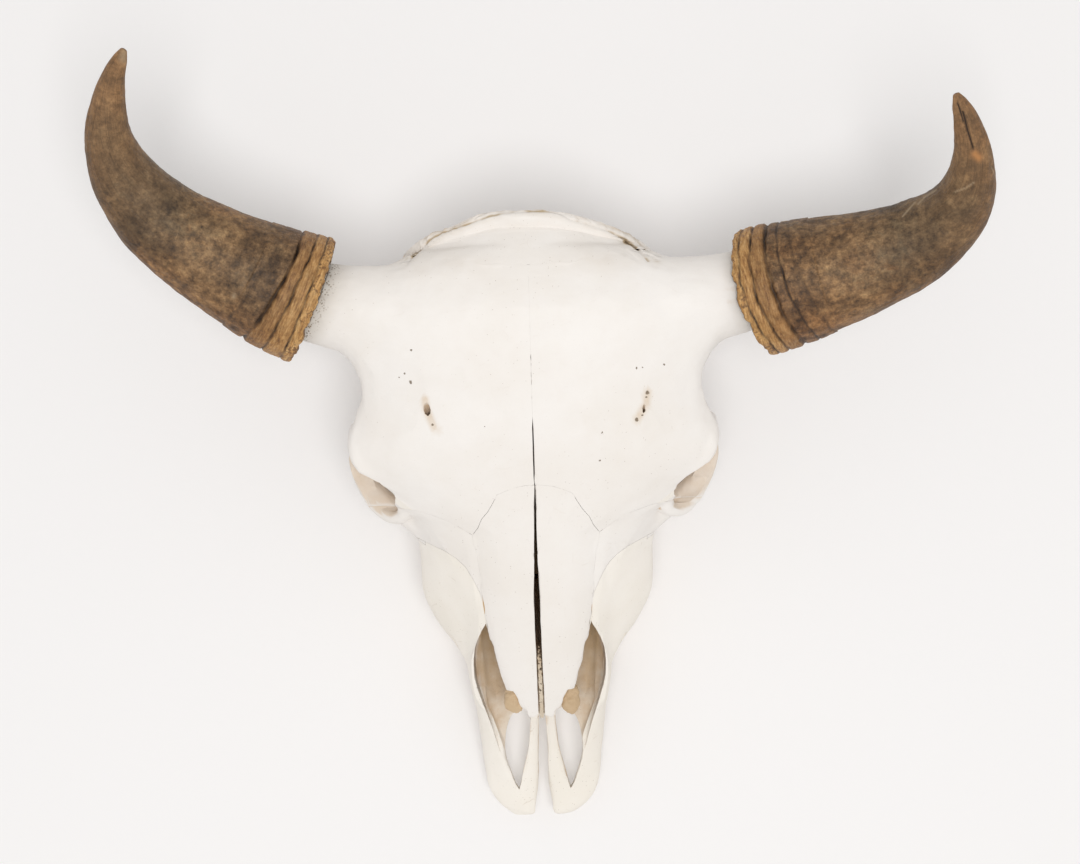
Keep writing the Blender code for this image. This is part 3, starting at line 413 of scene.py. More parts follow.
def bleached_bone(name, light, shade, stain_and_shade, pores=0.5, cracks=0.5, holes=()):
    """Old sun-bleached bone: uneven chalky white, with tan dust and painted shade where other bone covers
    the sky, pores and drying cracks.
    """
    material, tree, shader = new_material(name, 0.35)
    link = tree.links.new
    place = shader_node(tree, "TexCoord").outputs["Object"]

    clouds = pattern(tree, place, Scale=11.0, Detail=5.0, Roughness=0.6)["Fac"]
    mottle = pattern(tree, place, Scale=70.0, Detail=6.0, Roughness=0.65)["Fac"]
    fine = pattern(tree, place, Scale=900.0, Detail=4.0, Roughness=0.7)["Fac"]
    colour = blend(tree, ramp(tree, clouds, [(0.38, 0.0), (0.66, 1.0)]), light, shade)
    warm = times(tree, ramp(tree, mottle, [(0.5, 0.0), (0.72, 1.0)]), 0.05)
    colour = blend(tree, warm, colour, tuple(0.6 * a + 0.4 * b for a, b in zip(light, stain_and_shade)))

    pits = pattern(tree, place, "TexVoronoi", Scale=620.0)
    dots = ramp(tree, pits["Distance"], [(0.12, 1.0), (0.22, 0.0)])
    rare = shader_node(tree, "SeparateColor")
    link(pits["Color"], rare.inputs[0])
    chosen = times(tree, rare.outputs[0], 1.0 - 0.12 * pores, "GREATER_THAN")
    patch = ramp(tree, clouds, [(0.45, 0.15), (0.62, 1.0)])
    dots = times(tree, times(tree, dots, chosen), patch)

    bend = pattern(tree, place, Scale=30.0, Detail=3.0)["Color"]
    bent = scaled(tree, bend, (0.02, 0.02, 0.02), place)
    net = pattern(tree, bent, "TexVoronoi", feature="DISTANCE_TO_EDGE", Scale=26.0)
    lines = ramp(tree, net["Distance"], [(0.0, 1.0), (0.012, 0.0)])
    where = ramp(tree, mottle, [(0.56, 0.0), (0.64, 1.0)])
    lines = times(tree, times(tree, lines, where), cracks)

    collar = noted(tree, "collar")
    sponge = pattern(tree, place, "TexVoronoi", Scale=430.0)
    sponges = ramp(tree, sponge["Distance"], [(0.22, 1.0), (0.42, 0.0)])
    nearest = ramp(tree, times(tree, collar, mottle), [(0.3, 0.0), (0.48, 1.0)])
    sponges = times(tree, sponges, nearest)
    grey = blend(tree, times(tree, collar, 0.45), colour, COLLAR_GREY)
    colour = blend(tree, times(tree, sponges, 0.5), grey, SPONGE_BROWN)
    dots = times(tree, dots, sponges, "ADD")

    # Where other bone covers the sky, the colour turns to the tan of dust and to painted shade
    sheltered = times(tree, noted(tree, "shelter"), times(tree, collar, 0.45), "SUBTRACT")
    uneven = times(tree, sheltered, times(tree, mottle, 0.35), "ADD")
    tan_and_shade = ramp(tree, uneven, [(0.46, 0.0), (0.76, 1.0)])
    colour = blend(tree, tan_and_shade, colour, stain_and_shade)
    tan = times(tree, noted(tree, "hollow"), times(tree, mottle, 0.6, "ADD"))
    tan = ramp(tree, tan, [(0.0, 0.0), (0.33, 0.25), (0.62, 0.58), (1.0, 0.95)])
    colour = blend(tree, tan, colour, HOLLOW_TAN)
    # Painted shade: the most covered spots turn dark brown
    deep = ramp(tree, uneven, [(0.88, 0.0), (1.14, 0.8)])
    colour = blend(tree, deep, colour, tuple(0.36 * c for c in stain_and_shade))
    dark = tuple(0.35 * c for c in stain_and_shade)
    colour = blend(tree, times(tree, dots, 0.75), colour, dark)
    colour = blend(tree, times(tree, lines, 0.6), colour, tuple(0.6 * c for c in stain_and_shade))
    edge = noted(tree, "crest")
    # Crest brown on the crest's layers, and painted shade in the hollow before the crest
    ridge = ramp(tree, edge, [(0.0, 0.0), (0.25, 0.25), (0.6, 0.85)])
    colour = blend(tree, ridge, colour, CREST_BROWN)
    colour = blend(tree, ramp(tree, edge, [(0.65, 0.0), (1.0, 0.9)]), colour, CLEFT_DARK)
    if holes:
        bored = spots(tree, place, holes)
        colour = blend(tree, times(tree, bored, 0.85), colour, HOLE_DARK)
        dots = times(tree, dots, times(tree, bored, 3.0), "ADD")
    link(colour, shader.inputs["Base Color"])

    link(times(tree, times(tree, mottle, 0.3), 0.42, "ADD"), shader.inputs["Roughness"])
    height = times(tree, times(tree, mottle, 2.0), fine, "ADD")
    height = times(tree, times(tree, times(tree, height, 0.25), dots, "SUBTRACT"), lines, "SUBTRACT")
    raise_bumps(tree, shader, height, 0.35, 0.0006)
    return material


def dress(piece, node_name, material, smooth=38):
    """Gives a finished piece its material and puts it in its node's place."""
    points, _ = read_points(piece.data)
    points = np.clip(points, cad_box[0], cad_box[1])
    piece.data.vertices.foreach_set("co", points.ravel())
    piece.data.update()
    piece.data.materials.clear()
    piece.data.materials.append(material)
    bpy.ops.object.select_all(action="DESELECT")
    piece.select_set(True)
    bpy.context.view_layer.objects.active = piece
    bpy.ops.object.shade_smooth_by_angle(angle=math.radians(smooth))
    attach(piece, "root")
    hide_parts(node_name)


BONE_LIGHT = (0.90, 0.86, 0.82)
BONE_SHADE = (0.86, 0.81, 0.755)
# The brown of stains, also used for painted shade where other bone covers the sky
BONE_STAIN_AND_SHADE = (0.58, 0.37, 0.18)

# Edge of the crest seen from above, where the neck muscles tore the bone into layers, and a second
# ridge just inside it
CREST_EDGE = [
    (-104, 496), (-96, 509), (-89, 517), (-78, 522), (-56, 526), (-32, 535.5), (-13, 537), (24, 536),
    (36, 530), (71.5, 521), (89, 515), (100, 500), (107, 490),
]
INNER_RIDGE = [
    (-96, 496), (-83, 509.5), (-67, 520), (-47.5, 524.5), (-28, 529), (3, 532), (27.5, 528), (60.5, 518),
    (74.5, 511), (87, 498), (93, 493),
]

# Groove between the two, browner than the rest
CREST_GROOVE = [
    (-101, 495), (-93, 506), (-82, 516), (-72, 521), (-52, 525.5), (-30, 532), (-8, 535.5), (26, 534),
    (36, 527), (66, 519), (83, 511), (95, 498), (100, 491),
]

# Two dark clefts at the ends of the crest
CREST_HOLES = [[(82, 509), (87, 506.5), (90, 503)], [(-95.5, 502.5), (-94, 504)]]


def fray_crest(piece):
    """Tears the edge of the crest into thin uneven layers, and notes where they are, with a tan wash along
    the crest and painted shade in the hollow between the poll and the crest.
    """
    mesh = piece.data
    points, normals = read_points(mesh)
    place = in_skull(points)
    high = place[:, 2] > 165
    outer = np.clip(1 - line_distance(place[:, :2], CREST_EDGE) / 8, 0, 1) * high
    inner = np.clip(1 - line_distance(place[:, :2], INNER_RIDGE) / 3, 0, 1) * high
    torn = np.array([noise.noise(Vector((x / 9, y / 9, z / 2.2))) for x, y, z in place])
    fine = np.array([noise.noise(Vector((x / 3, y / 3, z / 1.5))) for x, y, z in place])
    side = np.clip((np.abs(place[:, 0]) - 30) / 50, 0, 1)
    groove = np.exp(-((line_distance(place[:, :2], CREST_GROOVE) / 1.3) ** 2)) * high
    push = (1.3 * torn + 0.6 * fine) * outer + (0.8 * inner - 0.5) * np.maximum(outer, inner) * side
    push -= 1.2 * groove
    points += normals * push[:, None] / 1000
    mesh.vertices.foreach_set("co", points.ravel())
    mesh.update()
    shelter = read_values(mesh, "shelter")
    near_crest = (place[:, 1] > 470) & (place[:, 2] > 190)
    write_values(mesh, "shelter", np.where(near_crest, 0.5 * shelter, shelter))
    broken = np.clip(1.6 * rough(points, 0.02, 3, 4.0) + 0.55, 0, 1)
    rim = np.clip(1 - line_distance(place[:, :2], CREST_EDGE) / 3, 0, 1) * high
    edge = 0.65 * np.maximum(groove, 0.6 * rim) * broken
    # Painted shade: a soft beige-grey wash in the hollow between the poll and the crest on each side, with a
    # tan wash along the crest
    across, along = (np.abs(place[:, 0]) - 68) / 34, (place[:, 1] - 493) / 10
    tan_and_shade = 0.09 * np.exp(-across * across - along * along) + 0.11 * outer + 0.08 * inner
    edge = np.maximum(edge, tan_and_shade * high * (0.6 + 0.8 * broken))
    for hole in CREST_HOLES:
        edge = np.maximum(edge, 1.3 * np.exp(-((line_distance(place[:, :2], hole) / 1.8) ** 2)) * high)
    write_values(mesh, "crest", np.clip(edge, 0, 1))


rear_bone = bleached_bone("rear_bone", BONE_LIGHT, BONE_SHADE, BONE_STAIN_AND_SHADE, 0.8, 0.12)
for node_name, piece_name in (
    ("skull_base", "base_bone"),
    ("parietal", "poll_bone"),
    ("temporal_left", "left_ear_bone"),
    ("temporal_right", "right_ear_bone"),
    ("occipital", "crest_and_neck_bone"),
):
    at_crest = node_name in ("occipital", "parietal")
    piece = bone_piece(node_name, piece_name, 3 if at_crest else 2)
    if at_crest:
        fray_crest(piece)
    dress(piece, node_name, rear_bone)


# Upper jaws: the two cheek bones that hold the six grinding teeth of each side, with the hard palate and
# the side walls of the nose. Slightly creamier bone than the forehead, and ivory teeth with brown necks.

# Mouth of the left nose opening, seen from above
NOSE_MOUTH = [
    (45.5, 187), (54, 171), (58.3, 150), (58, 137), (52, 113), (45, 91), (39, 68), (35, 56), (27, 30),
    (24, 40), (28, 75), (27, 96), (18, 104), (24, 125.5), (29.8, 126), (41.4, 163),
]


def note_nose_hollow(piece):
    """Notes which parts of a bone lie under a nose opening, browner towards the back."""
    place = in_skull(read_points(piece.data)[0])
    side, y, z = np.abs(place[:, 0]), place[:, 1], place[:, 2]
    inside = np.zeros(len(side), bool)
    for (ax, ay), (bx, by) in zip(NOSE_MOUTH, NOSE_MOUTH[1:] + NOSE_MOUTH[:1]):
        crosses = (ay > y) != (by > y)
        inside ^= crosses & (side < ax + (y - ay) / ((by - ay) or 1e-9) * (bx - ax))
    edge = line_distance(np.column_stack([side, y]), NOSE_MOUTH + NOSE_MOUTH[:1])
    below = z < np.interp(y, (30, 90, 187), (26, 56, 120))
    amount = np.interp(y, (40, 90, 125, 160), (0.28, 0.42, 0.62, 0.82))
    lining = inside * below * np.clip(edge / 1.5, 0.3, 1)
    write_values(piece.data, "hollow", lining * amount)
    shelter = read_values(piece.data, "shelter")
    write_values(piece.data, "shelter", np.where(lining > 0, np.minimum(shelter, 0.5), shelter))


JAW_LIGHT = (0.945, 0.895, 0.825)
JAW_SHADE = (0.905, 0.85, 0.765)
jaw_bone = bleached_bone("jaw_bone", JAW_LIGHT, JAW_SHADE, BONE_STAIN_AND_SHADE, 0.8, 0.4)

# Height of the teeth's necks, and where the rows start and how far they stand from the midline
TOOTH_NECK = 24.0
TOOTH_ROW_FRONT = 148
TOOTH_ROW_SIDE = 38


def stain_teeth(piece):
    """Yellows the grinding teeth, most at their necks and on the worn faces."""
    place = in_skull(read_points(piece.data)[0])
    y, z = place[:, 1], place[:, 2]
    neck = np.exp(-(((z - TOOTH_NECK + 4) / 5) ** 2))
    tooth = (z < TOOTH_NECK + 1) * (y > TOOTH_ROW_FRONT) * (np.abs(place[:, 0]) > TOOTH_ROW_SIDE)
    worn = 0.3 * (z < 2.5) + 0.15 * np.clip((12 - z) / 12, 0, 1)
    tint = np.clip(0.2 + 0.55 * neck + worn, 0, 0.8) * tooth
    write_values(piece.data, "hollow", np.maximum(read_values(piece.data, "hollow"), tint))


for side in ("left", "right"):
    piece = bone_piece("maxilla_" + side, side + "_upper_jaw")
    note_nose_hollow(piece)
    stain_teeth(piece)
    dress(piece, "maxilla_" + side, jaw_bone)


# Curled bones of the nose: the front ends of two paper-thin scrolls, tan with old dust, that show in the
# notches beside the nasal bones.

SCROLL_LIGHT = (0.64, 0.48, 0.31)
SCROLL_SHADE = (0.52, 0.37, 0.22)

# Middle of each lobe and its half sizes
SCROLLS = {"right": [(-22.5, 118, 111), (9.0, 13.5, 4.6)], "left": [(26, 116.5, 111), (8.5, 13.5, 4.6)]}
scroll_bone = bleached_bone("scroll_bone", SCROLL_LIGHT, SCROLL_SHADE, BONE_STAIN_AND_SHADE, 2.0, 0.5)
for side, (middle, half) in SCROLLS.items():
    bpy.ops.mesh.primitive_ico_sphere_add(subdivisions=6, radius=1)
    piece = bpy.context.object
    piece.name = side + "_nose_scroll"
    points, normals = read_points(piece.data)
    points = np.array(at(*middle)) + points * half / 1000
    lumps = 0.0022 * rough(points, 0.009, 2, 8.0) + 0.0005 * rough(points, 0.003, 3, 3.0)
    points += normals * lumps[:, None]
    piece.data.vertices.foreach_set("co", points.ravel())
    piece.data.update()
    piece.data.materials.append(scroll_bone)
    bpy.ops.object.shade_smooth_by_angle(angle=math.radians(60))
    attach(piece, "root")


# Front jaws: two thin flat bones at the muzzle, each with a slender inner bar beside the midline.
# They are only sutured to the upper jaws, and spread a little at their tips.

for side in ("left", "right"):
    piece = bone_piece("premaxilla_" + side, side + "_front_jaw", swell=0.0003)
    note_nose_hollow(piece)
    dress(piece, "premaxilla_" + side, jaw_bone)


# Septum: the upright plate that parts the nose, crumbling bone that shows in the open nasal seam.
# Its top is made thicker and higher at the front, where it fills the seam, and further in it is
# painted dark, as crumbled gaps and as the shade inside the nose.

SEPTUM_LIGHT = (0.80, 0.72, 0.60)
SEPTUM_SHADE = (0.55, 0.42, 0.28)
SEPTUM_STAIN_AND_SHADE = (0.25, 0.15, 0.08)
SEPTUM_GAPS_AND_SHADE = (0.055, 0.030, 0.014)
SEAM_WANDER = 0.8

# Height of the septum's top edge along it, and how much its front part is raised
TOP_EDGE = ((99, 118, 135, 150, 165, 182, 224), (104, 119, 129, 137, 141, 134, 144))
TOP_RAISE = ((97, 105, 120, 150), (3.0, 5.5, 4.5, 3.0))

septum_bone = bleached_bone("septum_bone", SEPTUM_LIGHT, SEPTUM_SHADE, SEPTUM_STAIN_AND_SHADE, 2.0)
tree = septum_bone.node_tree
shader = tree.nodes["Principled BSDF"]
whole = shader.inputs["Base Color"].links[0].from_socket
place = shader_node(tree, "TexCoord").outputs["Object"]
# Near-black gaps, partly crumbled bone and partly painted shade, more of them deeper in
crumbs = pattern(tree, place, Scale=420.0, Detail=3.0, Roughness=0.6)["Fac"]
gaps_and_shade = times(tree, crumbs, times(tree, noted(tree, "buried"), 0.45), "ADD")
gaps_and_shade = ramp(tree, gaps_and_shade, [(0.60, 0.0), (0.70, 1.0)])
tree.links.new(blend(tree, gaps_and_shade, whole, SEPTUM_GAPS_AND_SHADE), shader.inputs["Base Color"])
piece = refine(bone_blank("vomer", "septum"), 3)
points, _ = read_points(piece.data)
place = in_skull(points)
back = place[:, 1]
edge = np.interp(back, *TOP_EDGE)
near_edge = np.clip((place[:, 2] - edge + 7) / 4, 0, 1)
front_part = np.interp(back, (155, 172), (1.0, 0.0))
near_edge *= front_part
middle = SEAM_WANDER * np.sin(back / 46.0)
place[:, 0] = middle + (place[:, 0] - middle) * (1 + 0.95 * near_edge)
roof = np.clip((place[:, 2] - edge + 3) / 0.6, 0, 1) * front_part
place[:, 2] += roof * np.clip(edge - place[:, 2], 0, 3)
place[:, 2] += near_edge * np.interp(back, *TOP_RAISE)
piece.data.vertices.foreach_set("co", np.array([at(*row) for row in place]).ravel())
piece.data.update()
weather(piece, 0.0008, 0.0004)
# How far in along the seam: the deeper, the more painted shade and crumbled gaps
write_values(piece.data, "buried", np.interp(back, (112, 122, 150, 165, 178), (0, 0.1, 0.2, 0.4, 1)))
shelter = read_values(piece.data, "shelter")
write_values(piece.data, "shelter", shelter * (1 - 0.8 * near_edge))
dress(piece, "vomer", septum_bone)


# Cheek and tear bones: the ring of the eye socket and the arch behind it, thin and smooth. They are
# sutured to the forehead and the upper jaws, and line the front of the socket with browner bone.

# Middle of the hollow of the left eye socket from inside outwards, with half its width and height
EYE_HOLLOW = [
    (66, 346, 148, 24, 22), (112, 326, 156, 31, 28), (160, 317, 160, 30, 30), (200, 312, 162, 30, 30),
]
EYE_TAN = 0.45


def note_eye_hollow(piece):
    """Notes which parts of a bone line the inside of an eye socket."""
    points, normals = read_points(piece.data)
    place = in_skull(points)
    side = np.abs(place[:, 0])
    across, *rest = zip(*EYE_HOLLOW)
    y, z, wide, tall = (np.interp(side, across, column) for column in rest)
    off_y, off_z = (place[:, 1] - y) / wide, (place[:, 2] - z) / tall
    reach = np.hypot(off_y, off_z)
    facing = -(normals[:, 1] * off_y + normals[:, 2] * off_z) / reach
    lining = np.clip((1.5 - reach) / 0.1, 0, 1) * np.clip((facing - 0.1) / 0.3, 0, 1) * (side > 60)
    write_values(piece.data, "hollow", EYE_TAN * lining)


face_bone = bleached_bone("face_bone", BONE_LIGHT, BONE_SHADE, BONE_STAIN_AND_SHADE, 0.5, 0.12)
for kind, title in (("zygomatic", "_cheek_bone"), ("lacrimal", "_tear_bone")):
    for side in ("left", "right"):
        piece = bone_piece(kind + "_" + side, side + title)
        note_eye_hollow(piece)
        dress(piece, kind + "_" + side, face_bone)


# Nasal bones: two long arched plates that lie side by side over the nose, with an open seam between.
# They are thin dense bone, sutured to the forehead at the back and free at their broken tips.

for side in ("left", "right"):
    piece = bone_piece("nasal_" + side, side + "_nasal_bone", 3, 6, 0.0003)
    dress(piece, "nasal_" + side, face_bone)


# Forehead: two broad bones with the roofs of the eye sockets and the bony pegs of the horns. They meet
# along the midline, turn spongy in front of the horns' rims, and have a brow hole over each eye.

# Middle of each horn's rim and a point further along the horn
HORN_RIM = {
    "left": ((189.7, 464.2, 196), (234.9, 474.1, 205.5)),
    "right": ((-182.4, 467.0, 196), (-223.8, 485.2, 205.5)),
}

# Small vessel holes of the forehead, and those round the left brow hole: x, y and radius
FOREHEAD_HOLES = [
    (96, 381.5, 1.5), (94.8, 377.5, 0.8), (93.3, 367, 1.1), (91.5, 363.5, 0.8), (87, 359.5, 1.4),
    (-98.7, 422, 1.1), (-105, 403, 0.9), (-100.3, 395.7, 1.2), (-110, 400, 0.6), (-83, 360, 1.0),
    (-40, 357, 0.6), (87.5, 402, 0.7), (92.5, 402.7, 0.7), (110.7, 404.7, 0.8), (57.4, 350, 0.7),
    (55.3, 326.6, 0.9), (-119, 276.2, 1.7), (114.5, 275.8, 1.7), (103, 272.6, 1.3),
]
forehead_bone = bleached_bone("forehead_bone", BONE_LIGHT, BONE_SHADE, BONE_STAIN_AND_SHADE, 0.4, 0.08, FOREHEAD_HOLES)


# How wide the spongy collar is, and where it starts before the rim
COLLAR_WIDTH = 17
COLLAR_START = 2

# Lines along which dust lies in and before the two brow holes
BROW_DUST = {"left": [(96, 382), (95, 372), (87, 359.5)], "right": [(-89, 381), (-88, 373), (-82, 357)]}


def dust_brow_hole(piece, line):
    """Lessens the painted shade in a brow hole and half fills it with pale dust, so that it isn't black."""
    away = line_distance(in_skull(read_points(piece.data)[0])[:, :2], line)
    shelter = read_values(piece.data, "shelter")
    write_values(piece.data, "shelter", np.where(away < 9, np.minimum(shelter, 0.42), shelter))
    hollow = read_values(piece.data, "hollow")
    write_values(piece.data, "hollow", np.maximum(hollow, 0.45 * np.clip(1.6 - away / 3, 0, 1)))


def mark_collar(piece, rim):
    """Notes the spongy collar of bone in front of a horn's rim."""
    middle, beyond = (np.array(place) for place in rim)
    way = (beyond - middle) / np.linalg.norm(beyond - middle)
    before = -(in_skull(read_points(piece.data)[0]) - middle) @ way
    write_values(piece.data, "collar", np.clip(1 - (before - COLLAR_START) / COLLAR_WIDTH, 0, 1))


for side in ("left", "right"):
    piece = bone_piece("frontal_" + side, side + "_forehead_bone", 3, 6, 0.0005)
    mark_collar(piece, HORN_RIM[side])
    note_eye_hollow(piece)
    dust_brow_hole(piece, BROW_DUST[side])
    fray_crest(piece)
    dress(piece, "frontal_" + side, forehead_bone)


# Horn sheaths: the two curved hollow horns, keratin grown in yearly rings that slid over bony pegs.
# Weathered grey-brown and grained lengthwise, ochre at the chipped rims, where the last rings stand up.

# A row of a line is x, y, z and half the width seen from above, from rim to tip. Lean moves the rim at
# the back, on top and at the front. A ring is its distance from the rim at the same three places, then
# depth and half width of its groove. Ochre is the share of root colour that each ring adds.
HORNS = {
    "right": {
        "line": [
            (-182.4, 467.0, 196, 54.0), (-203.5, 475.6, 200.5, 53.0), (-223.8, 485.2, 205.5, 50.4),
            (-262.2, 506.4, 216, 43.9), (-299.1, 531.8, 230, 37.4), (-322.5, 558.0, 248.5, 31.2),
            (-333.0, 580.5, 266.5, 25.3), (-335.5, 603.0, 286.5, 19.6), (-330.8, 625.0, 306, 14.4),
            (-323.5, 642.0, 323, 10.4), (-316.5, 653.0, 334, 7.2), (-311.5, 660.5, 341, 3.4),
        ],
        "lean": (0, 0, 0),
        "rings": [(7.5, 10.5, 10, 1.0, 0.9), (17, 22.5, 25.5, 1.5, 1.1), (31, 35, 41, 2.6, 1.5)],
        "late_rings": [(48, 54, 60, 0.4, 1.2)],
        "ochre": (0.45, 0.25, 0.35),
        "scars": [("pale", 1.5, 0.0, [(-243.5, 469.5), (-242.5, 471.5)]),
                  ("pale", 3.5, 0.5, [(-310.5, 659.5), (-312.5, 653)])],
    },
    "left": {
        "line": [
            (189.7, 464.2, 196, 53.0), (212.0, 469.0, 200.5, 53.4), (234.9, 474.1, 205.5, 51.4),
            (280.1, 485.2, 216, 44.4), (318.0, 498.6, 230, 37.6), (342.5, 513.6, 248.5, 31.4),
            (354.4, 528.8, 266.5, 26.3), (358.9, 545.4, 286.5, 21.3), (357.4, 565.2, 306, 16.4),
            (350.8, 585.6, 323, 11.8), (344.0, 598.6, 334, 8.0), (339.1, 607.0, 341, 3.6),
        ],
        "lean": (-3.5, -10.5, 0),
        "rings": [(3.7, -3.5, 9, 1.0, 0.9), (13.5, 5.5, 18, 1.6, 1.1), (25, 20, 32, 2.8, 1.7)],
        "late_rings": [(35, 32, 44, 1.0, 1.0), (44, 46, 58, 0.5, 1.2)],
        "ochre": (0.35, 0.30, 0.40),
        "scars": [("dark", 0.9, 0.8, [(344.7, 593), (349, 580), (354.8, 566)]),
                  ("dark", 0.6, 0.6, [(340, 600), (345.5, 586)]),
                  ("amber", 2.8, -0.4, [(356.5, 562), (360, 559)]),
                  ("pale", 0.7, 0.1, [(320, 529), (326, 535), (333, 539)]),
                  ("pale", 0.6, 0.1, [(344.7, 535), (352, 537), (358, 541)]),
                  ("pale", 0.6, 0.1, [(372, 552), (379, 543.5)]),
                  ("pale", 0.6, 0.1, [(307.7, 519.6), (318.6, 531.5)])],
    },
}
HORN_MARKS = ("run", "front", "dark", "ochre", "inside", "pale", "amber")
HORN_FLATNESS = 0.9

# Depth in the socket, and half its width and height there
SOCKET = [(-12, 48, 43), (0, 46.5, 42), (20, 42, 39), (46, 37, 35.5)]
SOCKET_DEPTH = 46.0
AROUND = 168
RIM_CHIP = 3.2

# Spacing of the sheath's rows at its root and further out, and how far the chips of the rim are felt
ROOT_LENGTH = 62
ROOT_STEP = 0.62
OUTER_STEP = 1.45
CHIP_REACH = 60


def smooth_line(points, steps):
    """Catmull-Rom rows through a horn's stations."""
    p = np.asarray(points, float)
    p = np.concatenate([[2 * p[0] - p[1]], p, [2 * p[-1] - p[-2]]])
    rows = []
    for before, here, after, beyond in zip(p[:-3], p[1:-2], p[2:-1], p[3:]):
        for k in range(steps):
            t = k / steps
            bend = (2 * before - 5 * here + 4 * after - beyond) * t * t
            bend = bend + (3 * here - before - 3 * after + beyond) * t**3
            rows.append(0.5 * (2 * here + (after - before) * t + bend))
    return np.array(rows + [p[-2]])


def wobble(x, y, z, size=1.0):
    """Smooth noise from about -1 to 1, with bumps of a size."""
    return noise.noise(Vector((x / size, y / size, z / size)))


def round_the_horn(values, front):
    """A value between those at the back, on top and at the front of a horn."""
    at_back, on_top, at_front = values[:3]
    bend = 0.5 * (at_back + at_front) - on_top
    return on_top + 0.5 * (at_front - at_back) * front + bend * front * front


def ring_place(ring, front, angle, seed):
    """Distance of a growth ring from the rim, at an angle round the horn."""
    place = round_the_horn(ring, front)
    turn = 3.0 * math.cos(angle), 3.0 * math.sin(angle)
    return place + 1.3 * wobble(*turn, seed) + 0.7 * wobble(*turn, seed + 4, 0.22)


def horn_marks(horn, side, run, angle):
    """Height in millimetres over the plain horn, darkness, and share of ochre, at a place outside."""
    c, s = math.cos(angle), math.sin(angle)
    front = side * c
    height = 0.30 * wobble(9 * c, 9 * s, run * 0.035 + 40 * side, 0.9)
    height += 0.14 * wobble(9 * c, 9 * s, run * 0.05 + 40 * side, 0.35)
    height += 0.9 * wobble(45 * c, 45 * s, run + 90 * side, 26.0)
    height += 0.35 * wobble(45 * c, 45 * s, run - 50 * side, 6.0)
    height += 0.35 * math.exp(-run / 40) * wobble(25 * c, 25 * s, run * 1.6, 3.0)
    dark, ochre, last = 0.0, 0.0, 0.0
    for number, ring in enumerate(horn["rings"] + horn["late_rings"]):
        place = ring_place(ring, front, angle, 7.0 * number + 31 * side)
        away = (run - place) / ring[4]
        groove = math.exp(-away * away)
        strength = 0.8 + 0.6 * wobble(4 * c, 4 * s, number * 3.1 + side)
        height -= ring[3] * groove * strength
        # Darkness of a groove, deeper grooves darker: partly dirt, partly painted shade
        dark = max(dark, groove * min(1.0, ring[3]) * strength)
        if number < len(horn["rings"]):
            within = 1 / (1 + math.exp((run - place) / 0.6))
            height += 0.6 * within
            ochre += within * horn["ochre"][number]
            if last < run < place:
                height += 0.3 * math.sin(math.pi * (run - last) / (place - last))
            last = place
    return height, dark, ochre


